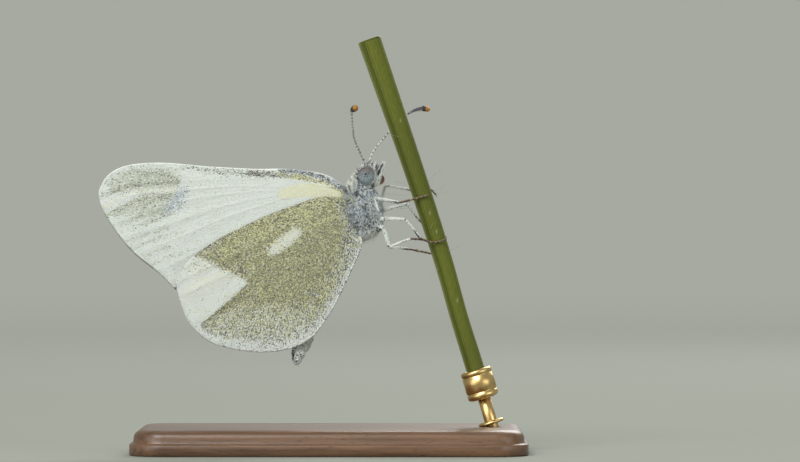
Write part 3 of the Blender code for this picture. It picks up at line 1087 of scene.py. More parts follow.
@dataclass(frozen=True)
class Wing:
    """One wing: a thin veined membrane, its coat of overlapping scales and its fringe.

    spans is the wing's length and its heights at the root and the margin, which the edge is a share of.
    """

    plan: WingPlan
    side: Side
    hidden: WingPlan | None = None
    thickness: float = 0.07
    rows: int = 116
    columns: int = 68
    pitch: Place = (0.081, 0.064)
    flare_at: Place = (1.9, 22.2)
    flare: Place = (0.42, 2.2)
    body_line: Line = ((2.1, 18.75), (-2.9, 7.65))
    tuck: Place = (0.7, 0.5)
    left_turn: float = 0.5
    vein_rise: float = 0.018
    pleat: float = 0.09
    edge: float = 0.13
    spans: Place = (19.0, 12.0, 16.0)

    @property
    def name(self) -> str:
        """The node that the wing stands for."""
        return f"{self.plan.name}_{self.side.word}"

    def depth(self, x: Array, z: Array) -> Array:
        """Distance of the membrane's middle from Y = 0.

        The wing's own plane, plus a bell round the root and one along the body, less a tuck where the root
        edge meets the body, plus a ridge on each vein, less a pleat halfway between neighbouring veins.

        Args:
            x: the points' first coordinates.
            z: their third coordinates.

        Returns:
            The distances in millimetres.
        """
        plan = self.plan
        root_gap = np.hypot(x - self.flare_at[0], z - self.flare_at[1])
        depth = plan.plane + self.flare[0] * bell(root_gap, self.flare[1])
        if plan.body_flare:
            depth = depth + plan.body_flare * bell(off_line(x, z, self.body_line)[0], 1.5)
        depth = depth - self.tuck[0] * bell(off_line(x, z, plan.root)[0], self.tuck[1])
        gaps = np.stack([off_line(x, z, smooth_path(vein, 14))[0] for vein in plan.veins])
        gaps = np.sort(gaps, axis=0)
        depth = depth + self.vein_rise * bell(gaps[0], 0.11)
        fold = 2 * gaps[0] / np.maximum(gaps[0] + gaps[1], TINY)
        open_out = ramp(4.0, 12.0, root_gap) * ramp(0.0, 0.8, off_line(x, z, plan.costa)[0])
        return depth - self.pleat * open_out * ramp(0.0, 1.0, fold) * ramp(0.1, 0.9, gaps[1])

    def place(self, x: Array, z: Array, rise: Array | float) -> Array:
        """Points at (x, z), rise out from the membrane's middle; the left wings are turned a little."""
        points = vectors(x, self.side.value * (self.depth(x, z) + rise), z)
        return self.turned(points)

    def turned(self, points: Array) -> Array:
        """The points as they are on the right wings, and turned about the root on the left ones.

        Args:
            points: the points before the turn.

        Returns:
            The points.
        """
        if self.side is Side.RIGHT:
            return points
        angle = math.radians(self.left_turn)
        x, z = points[..., 0] - self.flare_at[0], points[..., 2] - self.flare_at[1]
        points = points.copy()
        points[..., 0] = self.flare_at[0] + x * math.cos(angle) - z * math.sin(angle)
        points[..., 2] = self.flare_at[1] + x * math.sin(angle) + z * math.cos(angle)
        return points

    def flat_grid(self) -> tuple[Array, Array]:
        """The (x, z) grid between the four sides: a Coons patch drawn in by the edge's width.

        Its point is the blend of hind edge and costa, plus the blend of root and margin, less the blend of
        the four corners.

        Returns:
            The grid's x and its z.
        """
        plan = self.plan
        length, low, high = self.spans
        u = np.linspace(-0.03, 1 - self.edge / length, self.rows)[:, None, None]
        v = np.linspace(self.edge / low, 1 - self.edge / high, self.columns)[None, :, None]
        count = 400

        def at(line: Line, t: Array) -> Array:
            """The side's points at t, from 0 to 1 along it, or straight on past its ends.

            Args:
                line: the side's own points.
                t: how far along.

            Returns:
                A row for each t.
            """
            path = smooth_path(line, count)
            knots = np.linspace(0.0, 1.0, count)
            ends = np.clip(t.ravel(), 0.0, 1.0)
            found = np.stack([np.interp(ends, knots, path[:, k]) for k in range(2)], axis=-1)
            return found + (t.ravel() - ends)[:, None] * (path[-1] - path[0])

        hind, costa = at(plan.hind, u)[:, None], at(plan.costa, u)[:, None]
        root, margin = at(plan.root, v)[None], at(plan.margin, v)[None]
        ends = [np.asarray(line, float)[k] for line in (plan.root, plan.margin) for k in (0, -1)]
        corners = (1 - u) * ((1 - v) * ends[0] + v * ends[1]) + u * ((1 - v) * ends[2] + v * ends[3])
        flat = (1 - v) * hind + v * costa + (1 - u) * root + u * margin - corners
        return flat[..., 0], flat[..., 1]

    def membrane(self) -> Form:
        """The membrane as a closed sheet that carries the same markings as its scales.

        Returns:
            The painted form.
        """
        x, z = self.flat_grid()
        half = self.thickness / 2
        form = sheet(self.place(x, z, half), self.place(x, z, -half))
        tints = [marks.tint(x, z).reshape(-1, 3) for marks in (self.plan.under, self.plan.upper)]
        return form.painted(np.concatenate(tints))

    def roots(self, x: Array, z: Array, lie: Array, rise: float) -> Roots:
        """Roots on the outer face: the normal is found from the depth's slopes, the lie from (x, z).

        Args:
            x: the points' first coordinates.
            z: their third coordinates.
            lie: the (x, z) direction of each.
            rise: how far out from the membrane's middle they stand.

        Returns:
            The roots.
        """
        reach = 0.02
        slope_x = (self.depth(x + reach, z) - self.depth(x - reach, z)) / (2 * reach)
        slope_z = (self.depth(x, z + reach) - self.depth(x, z - reach)) / (2 * reach)
        side = self.side.value
        normals = unit(vectors(-slope_x, np.full(len(x), side), -slope_z))
        flow = vectors(lie[:, 0], side * (slope_x * lie[:, 0] + slope_z * lie[:, 1]), lie[:, 1])
        places = self.unwrapped(vectors(x, z))
        return Roots(self.place(x, z, rise), normals, unit(self.turned(flow) - self.turned(0 * flow)), places)

    def unwrapped(self, spots: Array) -> Array:
        """Places from 0 to 1 along the wing's own length and across it.

        Args:
            spots: (x, z) points.

        Returns:
            Places on the coat's UV map.
        """
        loop = self.plan.outline()
        way = unit(loop.mean(0) - np.array(self.plan.fan))
        axes = np.array((way, (-way[1], way[0]))).T
        ends = loop @ axes
        return (spots @ axes - ends.min(0) + 0.3) / (np.ptp(ends, axis=0) + 0.6)

    def coat(self, rng: Random) -> tuple[Roots, Array]:
        """Roots of the shingled scales, on a slanted lattice with each one moved a little.

        Args:
            rng: the random numbers.

        Returns:
            The roots and each one's tone number.
        """
        loop = self.plan.outline(self.edge + 0.03)
        low, high = loop.min(0), loop.max(0)
        middle, reach = (low + high) / 2, np.linalg.norm(high - low) / 2
        step_along, step_across = self.pitch
        along = np.arange(-reach, reach, step_along)
        across = np.arange(-reach, reach, step_across)
        a, b = np.meshgrid(along, across, indexing="ij")
        b = b + (np.arange(len(along)) % 2)[:, None] * step_across / 2
        a = a + rng.uniform(-0.3, 0.3, a.shape) * step_along
        b = b + rng.uniform(-0.25, 0.25, b.shape) * step_across
        way = unit(middle - np.array(self.plan.fan))
        x = (middle[0] + a * way[0] - b * way[1]).ravel()
        z = (middle[1] + a * way[1] + b * way[0]).ravel()
        kept = inside(x, z, loop)
        if self.hidden:
            kept[kept] = ~inside(x[kept], z[kept], self.hidden.outline(0.9))
        x, z = x[kept], z[kept]
        lie = unit(vectors(x - self.plan.fan[0], z - self.plan.fan[1]))
        return self.roots(x, z, lie, self.thickness / 2), self.plan.under.draw(rng, x, z)

    def fringe(self, rng: Random) -> tuple[Roots, Array, Array]:
        """Roots of the hair-like scales round the wing, which lie along the costa and stand off the margin.

        Args:
            rng: the random numbers.

        Returns:
            The roots, a factor on each scale's length and each one's tone number.
        """
        loop = self.plan.outline(self.edge + 0.02)
        outer = self.plan.outline()
        keep = off_line(loop[:, 0], loop[:, 1], self.plan.root)[0] > 0.9
        index = rng.integers(0, len(loop), 6600)
        index = index[keep[index]]
        share = rng.random(len(index))[:, None]
        beyond = (index + 1) % len(loop)
        spots = blend(loop[index], loop[beyond], share)
        if self.hidden:
            out = ~inside(spots[:, 0], spots[:, 1], self.hidden.outline(0.9))
            index, spots = index[out], spots[out]
        free = ramp(0.2, 1.2, off_line(spots[:, 0], spots[:, 1], self.plan.costa)[0])[:, None]
        flow = unit(spots - np.array(self.plan.fan))
        lie = unit(unit(outer[index] - loop[index]) * (0.12 + 0.88 * free) + flow * (1.0 - 0.6 * free))
        rise = rng.uniform(-0.5, 0.6, len(spots)) * self.thickness
        x, z = spots.T
        return self.roots(x, z, lie, rise), 0.5 + 0.5 * free[:, 0], self.plan.under.draw(rng, x, z)

    def build(self, rng: Random) -> None:
        """Makes the membrane, and the scales and fringe in one piece for each tone.

        Args:
            rng: the random numbers.
        """
        slot = self.plan.name + "s"
        membrane = PaintedFinish("wing_membrane", 0.62, 0.09, 0.86, 0.008)
        add_piece(self.name, self.membrane(), membrane, (self.name,))
        shingle = Growth(PADDLE, 0.15, 0.076, 4.5, 0.02, 0.14, 9.0)
        fringe = Growth(PADDLE, 0.165, 0.08, 3.0, 0.0, 0.16, 8.0)
        roots, tones = self.coat(rng)
        hem, stretch, hem_tones = self.fringe(rng)
        for number, tone in enumerate(Tone):
            chosen, edge = tones == number, hem_tones == number
            if chosen.any():
                forms = [shingle.grow(roots.pick(chosen), rng), fringe.grow(hem.pick(edge), rng, stretch[edge])]
                add_piece(f"{self.name}_{tone.word}_scales", join(forms), tone.value, coat=True)


W, I, C, S = Tone.WHITE, Tone.IVORY, Tone.CREAM, Tone.SAGE
O, B, N, D = Tone.OLIVE, Tone.BLUE, Tone.BROWN, Tone.DARK
APEX_GREY = {S: 0.74, W: 0.14, I: 0.04, O: 0.03, D: 0.05}
APEX_WASH = {S: 0.7, W: 0.2, I: 0.04, D: 0.06}
APEX_LINE = {W: 0.12, S: 0.56, O: 0.12, D: 0.2}
# Painted shade: faint grey streaks in the pleat troughs between the forewing's veins.
PLEAT_SHADE_GREY = {W: 0.45, S: 0.5, D: 0.03, O: 0.02}

FOREWING_MARKS = (
    # Painted shade: faint grey rays for the pleat troughs over the forewing's outer half.
    Rays((2.5, 22.9), (7.0, 15.0), 155.0, {S: 0.34, W: 0.66}, 0.3),
    Streak(((-3.95, 22.35, 0.42), (-2.0, 22.62, 0.58), (1.15, 22.28, 0.36)), 0.12, {I: 0.92, C: 0.08}, 0.95),
    Streak(((-4.4, 21.9, 0.02), (-4.5, 22.3, 0.03), (-4.47, 22.8, 0.02)), 0.05, {C: 0.6, O: 0.4}, 0.6),
    Streak(((-4.4, 21.9, 0.02), (-3.3, 21.82, 0.02), (-2.5, 21.88, 0.015)), 0.05, {C: 0.7, O: 0.3}, 0.5),
    Streak(((-12.5, 24.7, 0.12), (-9.5, 24.25, 0.28), (-6.5, 24.1, 0.36)), 0.3,
           {W: 0.44, S: 0.28, D: 0.19, O: 0.09}, 0.75),
    Streak(((-4.3, 23.95, 0.25), (-2.7, 23.75, 0.25), (-1.5, 23.52, 0.2), (-0.5, 23.3, 0.15),
           (0.4, 22.85, 0.12), (1.1, 22.45, 0.1)), 0.12, {C: 0.42, O: 0.3, I: 0.14, D: 0.14}, 0.9),
    Streak(((-4.9, 23.95, 0.22), (-3.3, 23.86, 0.18)), 0.2, {D: 0.24, S: 0.32, O: 0.22, W: 0.14, B: 0.08},
           0.8),
    Streak(((-7.0, 24.0, 0.2), (-6.2, 23.98, 0.25), (-4.8, 23.95, 0.22)), 0.18,
           {D: 0.56, S: 0.16, W: 0.16, O: 0.12}, 0.9),
    Streak(((-4.38, 24.33, 0.12), (-2.93, 24.27, 0.24), (-1.71, 24.03, 0.24), (-0.5, 23.67, 0.24),
           (0.71, 23.12, 0.25), (1.32, 22.7, 0.25)), 0.12, {B: 0.32, W: 0.16, D: 0.44, N: 0.08}, 0.94),
    Streak(((-18.2, 20.55, 0.35), (-16.5, 21.2, 0.75), (-14.0, 21.6, 0.8)), 0.35, APEX_WASH, 0.75),
    Streak(((-18.3, 23.1, 0.7), (-16.5, 23.5, 0.95), (-13.7, 23.5, 0.85)), 0.5, APEX_GREY, 0.88),
    Streak(((-17.0, 24.3, 0.25), (-14.6, 24.35, 0.35)), 0.3, {W: 0.55, S: 0.38, D: 0.07}, 0.6),
    Streak(((-19.6, 22.1, 0.1), (-18.0, 22.7, 0.16), (-16.3, 23.15, 0.22), (-13.1, 23.3, 0.25)), 0.18,
           APEX_LINE, 0.75),
    Streak(((-15.9, 23.95, 0.12), (-14.5, 24.1, 0.22), (-13.7, 23.9, 0.2)), 0.2, APEX_LINE, 0.6),
    Streak(((-19.5, 21.2, 0.12), (-16.5, 22.45, 0.18), (-13.4, 22.55, 0.2)), 0.2, {W: 0.52, I: 0.28, S: 0.2},
           0.85),
    Streak(((-18.9, 20.5, 0.16), (-17.0, 21.3, 0.32), (-15.5, 21.8, 0.36), (-13.4, 22.1, 0.25)), 0.22,
           APEX_GREY, 0.9),
    Streak(((-18.5, 20.9, 0.04), (-16.8, 21.6, 0.1), (-13.6, 22.15, 0.12)), 0.12, APEX_LINE, 0.8),
    Streak(((-18.0, 19.75, 0.1), (-16.2, 20.35, 0.22), (-14.2, 20.95, 0.25)), 0.22, APEX_GREY, 0.8),
    Streak(((-17.0, 19.3, 0.1), (-15.4, 19.95, 0.2), (-13.6, 20.6, 0.18)), 0.2, APEX_GREY, 0.7),
    Streak(((-14.2, 20.8, 0.25), (-13.2, 21.6, 0.5), (-12.6, 22.5, 0.3)), 0.6, {B: 0.72, W: 0.18, D: 0.1},
           0.82),
    # Painted shade of the pleat troughs near the forewing's margin.
    Streak(((-16.9, 18.5, 0.12), (-14.0, 19.4, 0.22)), 0.25, PLEAT_SHADE_GREY, 0.75),
    Streak(((-16.9, 17.75, 0.12), (-14.6, 18.5, 0.2), (-12.5, 19.1, 0.1)), 0.22, PLEAT_SHADE_GREY, 0.8),
    Streak(((-15.9, 17.0, 0.12), (-13.8, 17.7, 0.16)), 0.2, PLEAT_SHADE_GREY, 0.7),
    Streak(((-15.2, 16.3, 0.12), (-13.6, 16.9, 0.16), (-12.0, 17.5, 0.1)), 0.2, PLEAT_SHADE_GREY, 0.7),
)

FOREWING = WingPlan(
    name="forewing",
    hind=((1.5, 21.7), (-3.4, 19.8), (-8.8, 17.0), (-13.42, 14.2)),
    costa=(
        (1.75, 22.75), (1.0, 23.2), (0.0, 23.82), (-2.6, 24.42), (-6.4, 24.5), (-10.4, 24.72),
        (-15.1, 25.06), (-17.0, 24.92), (-18.3, 24.54), (-19.1, 24.0), (-19.46, 23.6),
    ),
    root=((1.5, 21.7), (1.75, 22.75)),
    margin=(
        (-13.42, 14.2), (-14.53, 15.34), (-17.02, 17.41), (-19.09, 20.14), (-19.86, 21.8), (-19.92, 22.5),
        (-19.72, 23.16), (-19.46, 23.6),
    ),
    plane=0.28,
    fan=(2.5, 22.9),
    veins=(
        ((1.7, 22.5), (-1.5, 23.6), (-5.5, 23.95), (-9.5, 24.3), (-12.5, 24.85)),
        ((1.7, 22.4), (-2.0, 23.3), (-7.0, 23.6), (-13.0, 23.75), (-17.3, 24.6)),
        ((-8.0, 23.6), (-13.0, 23.4), (-17.0, 23.1), (-19.8, 22.6)),
        ((-4.5, 22.9), (-9.5, 22.9), (-13.4, 22.5), (-16.5, 22.3), (-19.5, 21.1)),
        ((-4.5, 22.6), (-9.5, 22.2), (-14.0, 21.35), (-18.7, 19.7)),
        ((-4.4, 22.2), (-9.0, 21.3), (-13.5, 19.85), (-17.9, 18.5)),
        ((-4.0, 21.95), (-8.6, 20.4), (-12.6, 18.7), (-16.7, 17.1)),
        ((-2.6, 21.75), (-7.5, 19.6), (-11.3, 17.4), (-14.9, 15.6)),
        ((1.5, 21.9), (-3.4, 20.3), (-8.8, 17.5), (-13.3, 14.75)),
    ),
    under=Markings({W: 0.96, I: 0.03, S: 0.01}, FOREWING_MARKS),
    upper=Markings(
        {W: 0.97, C: 0.03}, (Streak(((-18.4, 22.2, 1.1), (-17.0, 23.2, 1.2)), 0.5, {D: 0.6, W: 0.4}, 0.9),)
    ),
)

WHITISH = {W: 0.8, D: 0.1, B: 0.06, C: 0.03, O: 0.01}

HINDWING_MARKS = (
    Streak(((-10.2, 17.6, 0.5), (-7.3, 18.6, 0.85), (-4.0, 20.2, 0.85), (-1.5, 21.1, 0.75), (0.4, 21.6, 0.4)),
           0.5, {C: 0.42, O: 0.34, D: 0.16, W: 0.05, N: 0.03}, 0.8),
    Streak(((-2.3, 19.2, 0.2), (-0.6, 20.0, 0.25), (0.9, 20.4, 0.15)), 0.2, {C: 0.6, O: 0.3, D: 0.1}, 0.6),
    Streak(((-10.3, 11.9, 0.6), (-6.5, 11.5, 1.0), (-2.2, 11.8, 0.9)), 0.9,
           {W: 0.34, C: 0.2, O: 0.22, S: 0.1, D: 0.14}, 0.85),
    Streak(((-9.6, 10.9, 0.3), (-6.5, 10.4, 0.5), (-2.6, 10.9, 0.5)), 0.7,
           {W: 0.45, C: 0.15, S: 0.12, O: 0.08, D: 0.2}, 0.8),
    Streak(((-9.6, 16.3, 0.25), (-7.4, 15.7, 0.3)), 0.3, {N: 0.28, D: 0.16, O: 0.26, C: 0.18, W: 0.12}, 0.85),
    Streak(((-11.8, 17.0, 0.25), (-9.6, 18.0, 0.4)), 0.35, {N: 0.3, D: 0.14, O: 0.14, C: 0.2, W: 0.22}, 0.85),
    Streak(((-10.9, 11.2, 0.25), (-7.4, 13.8, 0.35)), 0.35, {D: 0.26, N: 0.12, O: 0.45, C: 0.17}, 0.7),
    Streak(((-11.9, 16.9, 0.14), (-9.6, 18.35, 0.2), (-6.0, 20.15, 0.12), (-3.0, 21.3, 0.08),
           (0.0, 22.0, 0.06)), 0.16, {D: 0.42, N: 0.14, C: 0.24, W: 0.2}, 0.7),
    Streak(((-2.85, 18.95, 0.46), (-3.8, 18.2, 0.52), (-4.9, 17.4, 0.36)), 0.3,
           {W: 0.6, I: 0.26, C: 0.1, O: 0.04}, 0.98),
    Streak(((-4.4, 18.3, 0.1), (-5.3, 17.5, 0.15)), 0.3, {W: 0.45, C: 0.35, O: 0.2}, 0.55),
    Wedge(((-11.5, 10.7, -6.95, 14.62, 0.09), (-6.95, 14.75, -11.3, 16.8, 0.3),
           (-6.9, 14.0, -7.0, 16.0, 0.3)), {W: 0.88, I: 0.11, S: 0.01}, 0.98),
    Streak(((-12.1, 16.1, 0.55), (-11.0, 16.25, 0.5), (-10.1, 16.0, 0.3)), 0.45,
           {W: 0.62, I: 0.26, S: 0.05, D: 0.03, N: 0.04}, 0.88),
    Streak(((-12.6, 13.7, 0.25), (-9.8, 15.1, 0.3), (-8.0, 15.2, 0.2)), 0.4, {W: 0.55, I: 0.43, C: 0.02}, 0.7),
    Streak(((-11.4, 10.9, 0.35), (-9.8, 9.9, 0.5), (-6.5, 9.35, 0.6), (-3.4, 9.55, 0.6), (-1.2, 10.8, 0.5)),
           0.6, WHITISH, 0.92),
    Streak(((2.3, 18.2, 0.5), (1.6, 16.6, 0.9), (0.1, 13.5, 0.9), (-1.3, 11.0, 0.8)), 0.8,
           {W: 0.34, C: 0.24, B: 0.08, O: 0.16, D: 0.18}, 0.6),
    Streak(((2.5, 18.2, 0.25), (2.0, 16.4, 0.42), (0.5, 13.3, 0.45), (-1.0, 10.7, 0.5)), 0.5,
           {W: 0.54, B: 0.14, D: 0.18, C: 0.14}, 0.88),
    Streak(((2.65, 17.4, 0.2), (1.6, 14.95, 0.4), (0.2, 12.1, 0.48), (-1.2, 10.15, 0.48)), 0.32,
           {W: 0.88, B: 0.08, D: 0.04}, 0.94),
    Streak(((1.2, 21.2, 0.35), (1.9, 19.2, 0.6), (1.7, 17.4, 0.4)), 0.5,
           {D: 0.34, B: 0.22, W: 0.24, C: 0.14, O: 0.06}, 0.8),
    Streak(((0.02, 15.8, 0.08), (0.02, 15.45, 0.1)), 0.2, {D: 0.85, O: 0.15}, 0.75),
    Streak(((-1.9, 13.9, 0.12), (-1.1, 13.7, 0.15)), 0.3, {D: 0.6, B: 0.2, W: 0.2}, 0.6),
    Streak(((0.2, 14.6, 0.15), (-0.6, 13.4, 0.2)), 0.25, {C: 0.7, O: 0.2, D: 0.1}, 0.6),
    Streak(((-13.0, 14.6, 0.05), (-12.5, 12.4, 0.15), (-11.3, 10.6, 0.22), (-8.6, 9.3, 0.28),
           (-5.9, 8.95, 0.28), (-3.4, 9.2, 0.28), (-1.3, 10.3, 0.25)), 0.26, {W: 0.94, B: 0.03, D: 0.03},
           0.95),
)

HINDWING = WingPlan(
    name="hindwing",
    hind=((2.5, 18.9), (2.84, 18.2), (2.59, 17.4), (1.5, 14.95), (0.1, 12.15), (-1.3, 10.15)),
    costa=(
        (1.45, 21.95), (-0.43, 22.15), (-3.46, 21.27), (-6.91, 19.87), (-10.37, 18.06), (-12.3, 16.45),
        (-13.34, 14.75),
    ),
    root=((2.5, 18.9), (1.95, 20.4), (1.45, 21.95)),
    margin=(
        (-1.3, 10.15), (-2.4, 9.38), (-3.8, 8.9), (-5.9, 8.68), (-7.7, 8.84), (-9.3, 9.2), (-10.46, 9.64),
        (-11.45, 10.46), (-11.98, 11.02), (-12.42, 11.8), (-12.83, 13.0), (-13.2, 14.1), (-13.34, 14.75),
    ),
    plane=0.85,
    fan=(2.4, 21.6),
    veins=(
        ((1.5, 21.5), (-3.2, 20.9), (-9.0, 18.3), (-12.6, 15.8)),
        ((1.5, 21.2), (-2.4, 19.9), (-7.0, 17.6), (-11.0, 15.7), (-13.1, 14.7)),
        ((-2.6, 19.6), (-5.6, 17.2), (-9.0, 15.2), (-13.0, 13.4)),
        ((-3.4, 18.4), (-7.0, 14.9), (-11.6, 10.95)),
        ((-3.4, 17.6), (-6.2, 13.6), (-9.4, 9.5)),
        ((-2.6, 17.6), (-4.6, 13.4), (-6.8, 8.9)),
        ((1.4, 20.4), (-1.6, 17.0), (-3.2, 12.8), (-4.1, 9.0)),
        ((1.6, 20.0), (0.6, 16.6), (-1.4, 12.4), (-2.2, 9.9)),
    ),
    under=Markings({C: 0.2, O: 0.54, S: 0.06, D: 0.15, W: 0.02, N: 0.03}, HINDWING_MARKS),
    upper=Markings({W: 0.97, C: 0.03}),
    body_flare=0.2,
)


# ---- body and head


BODY_DOTS = (
    (1.99, 21.43, 0.14), (2.94, 21.34, 0.15), (2.03, 20.6, 0.14), (2.42, 19.09, 0.14), (2.34, 22.47, 0.2),
    (1.87, 21.9, 0.18), (4.3, 19.4, 0.14), (2.6, 21.9, 0.1), (3.3, 20.5, 0.1), (2.3, 20.0, 0.12),
    (-3.15, 8.66, 0.13), (-3.05, 8.35, 0.1), (-3.2, 8.12, 0.09), (-2.95, 8.0, 0.06), (-2.8, 8.5, 0.06),
)
BODY_MARKS = (
    Streak(((2.7, 18.9, 1.6), (2.9, 21.2, 2.0), (2.6, 22.9, 1.3)), 0.4, {B: 0.46, W: 0.38, D: 0.16}, 1.0),
    Streak(((3.4, 23.9, 1.15), (3.4, 24.3, 1.1)), 0.2, {W: 0.46, D: 0.36, B: 0.14, N: 0.04}, 1.0),
    Streak(((4.1, 21.9, 0.3), (4.2, 20.4, 0.35), (4.0, 19.1, 0.3)), 0.3, {W: 0.65, B: 0.25, D: 0.1}, 0.8),
    Streak(((3.15, 19.85, 0.05), (3.65, 19.5, 0.06)), 0.08, {D: 0.9, B: 0.1}, 0.9),
    Streak(((2.9, 22.75, 0.12), (3.9, 22.7, 0.1)), 0.15, {D: 0.5, B: 0.3, W: 0.2}, 0.5),
    Streak(((2.35, 24.3, 0.15), (2.5, 23.6, 0.15), (2.9, 23.1, 0.12)), 0.15, {D: 0.55, W: 0.3, N: 0.15}, 0.7),
    Streak(((-2.3, 9.6, 0.8), (-2.85, 7.9, 0.7)), 0.4, {W: 0.96, B: 0.04}, 0.95),
    *(Streak(((x, z + r / 2, r), (x, z - r / 2, r)), 0.08, {D: 0.92, B: 0.08}, 0.92) for x, z, r in BODY_DOTS),
)


@dataclass(frozen=True)
class Trunk:
    """Abdomen, thorax and head under one skin, and the coat of scales and hair over it.

    Each station is (x, z, half depth in the side view, half width along Y), out to the coat's tips. neck and
    waist are the heights between which the coat changes, and brow, face, collar and breast are (x, z, width)
    places of longer hair. lashes says how many hairs ring an eye, and how many stand evenly round it.
    """

    marks: Markings = Markings({W: 0.8, B: 0.12, D: 0.05, C: 0.03}, BODY_MARKS)
    stations: Line = (
        (-2.9, 7.7, 0.24, 0.2), (-2.86, 7.95, 0.44, 0.38), (-2.8, 8.25, 0.56, 0.46),
        (-2.52, 9.05, 0.76, 0.58), (-1.72, 10.8, 0.76, 0.64), (-0.32, 13.0, 0.78, 0.66),
        (0.92, 15.4, 0.78, 0.66), (1.72, 17.5, 0.72, 0.64), (2.15, 18.45, 0.64, 0.56),
        (2.74, 19.0, 0.85, 0.7), (3.0, 19.62, 1.5, 1.06), (3.0, 20.4, 1.62, 1.19), (2.9, 21.5, 1.58, 1.16),
        (2.78, 22.35, 1.32, 0.98), (2.84, 22.9, 0.98, 0.74), (3.08, 23.25, 0.88, 0.6),
        (3.32, 23.62, 0.93, 0.57), (3.42, 24.0, 0.92, 0.56), (3.44, 24.34, 0.79, 0.5),
        (3.46, 24.6, 0.56, 0.4), (3.48, 24.74, 0.3, 0.24),
    )
    coat: float = 0.12
    rows: int = 300
    columns: int = 80
    segments: Place = (8.9, 10.3, 11.7, 13.1, 14.5, 15.9, 17.3)
    crease: Place = (0.05, 0.13)
    coxae: tuple[Place, ...] = ((4.05, 21.3), (4.25, 20.3), (4.15, 19.5))
    coxa_size: float = 0.42
    neck: Place = (22.9, 23.3)
    waist: Place = (18.0, 18.6)
    brow: Place = (4.1, 24.35, 0.3)
    face: Place = (4.15, 24.1, 0.55)
    collar: tuple[Place, ...] = ((1.72, 22.62, 0.38), (2.05, 23.05, 0.36), (2.4, 23.55, 0.34))
    breast: Place = (3.6, 18.9, 0.6)
    lashes: Place = (1100, 366)

    def skin(self) -> Array:
        """The skin's grid: middle + depth cos a forward + width sin a sideways, less the coat's depth.

        Depth and width shrink by a bell at each crease of the abdomen, and three low swellings on the
        breast carry the legs.

        Returns:
            A (rows, columns, 3) grid.
        """
        line = smooth_path(self.stations, self.rows)
        middle, half = line[:, :2], line[:, 2:] - self.coat * ramp(0.1, 0.5, line[:, 2:])
        along = unit(np.gradient(middle, axis=0))
        dents = sum(bell(middle[:, 1] - height, self.crease[1]) for height in self.segments)
        half = half - self.crease[0] * dents[:, None]
        angle = turns(self.columns)
        depth, width = half[:, :1] * np.cos(angle), half[:, 1:] * np.sin(angle)
        x = middle[:, :1] + depth * along[:, 1:]
        z = middle[:, 1:] - depth * along[:, :1]
        for at_x, at_z in self.coxae:
            swell = 0.16 * spot(x, z, (at_x, at_z, self.coxa_size)) * bell(np.abs(width) - 0.45, 0.35)
            x = x + swell * np.sign(np.cos(angle))
        return vectors(x, width, z)

    def build(self, rng: Random, eyes: "Eyes") -> None:
        """Makes the skin and grows the coat on it.

        Args:
            rng: the random numbers.
            eyes: the eyes, under which no tuft grows.
        """
        grid = self.skin()
        skin = painted_tube(grid, 0.8 * self.marks.tint(grid[..., 0], grid[..., 2]))
        nodes = ("head", "thorax", "abdomen", "abdomen_tip")
        add_piece("body_skin", skin, PaintedFinish("body_skin", 0.5, 0.05, 0.6, 0.01), nodes)
        ground = Ground(grid)
        x, y, z = (ground.cells()[..., k] for k in range(3))
        free = 1.0 - eyes.covers(x, y, z, 1.04)
        head, above = ramp(*self.neck, z) * (x > 2.2), ramp(*self.waist, z)
        body = free * (1 - 0.9 * head) * (0.6 + 0.4 * above)
        fluffy = body * (0.4 + 0.6 * above)
        scales = Growth(SCALE, 0.23, 0.085, 13.0, 0.04, 0.25, 20.0)
        hair = Growth(HAIR, 0.34, 0.03, 22.0, 0.06, 0.3, 22.0)
        self.layer("scales", ground.scatter(rng, 15000, body), scales, rng)
        self.layer("hair", ground.scatter(rng, 5000, fluffy), hair, rng)
        crown = ground.scatter(rng, 1500, free * head, 1.0)
        self.layer("head_scales", crown, Growth(SCALE, 0.19, 0.06, 30.0, 0.05, 0.3, 25.0), rng)
        top = ground.scatter(rng, 230, free * ramp(24.05, 24.4, z) * (x > 2.7)).aimed((0.5, 0.0, 0.87))
        self.layer("crest", top, Growth(HAIR, 0.36, 0.036, 34.0, 0.0, 0.2, 7.0), rng, (11, 0.035))
        brow = ground.scatter(rng, 40, free * spot(x, z, self.brow)).aimed((0.35, 0.0, 0.94))
        self.layer("brow", brow, Growth(HAIR, 0.42, 0.036, 32.0, 0.0, 0.2, 7.0), rng, (10, 0.035))
        face = ground.scatter(rng, 700, free * spot(x, z, self.face)).aimed((0.2, 0.0, 1.0))
        self.layer("face", face, Growth(HAIR, 0.32, 0.03, 30.0, 0.0, 0.3, 22.0), rng)
        self.tufts(ground, rng)
        self.build_lashes(eyes, rng)

    def layer(self, name: str, roots: Roots, growth: Growth, rng: Random, clump: Place = (1, 0.0)) -> None:
        """One layer of the coat, in one piece for each tone.

        Args:
            name: the layer's name.
            roots: where it grows.
            growth: how its tufts grow.
            rng: the random numbers.
            clump: how many tufts stand together, and how far round their root.
        """
        drawn = self.marks.draw(rng, roots.points[:, 0], roots.points[:, 2])
        for number, tone in enumerate(Tone):
            chosen = drawn == number
            if chosen.any():
                form = growth.grow(roots.pick(chosen).clumped(rng, *clump), rng)
                add_piece(f"body_{name}_{tone.word}", form, tone.value, coat=True)

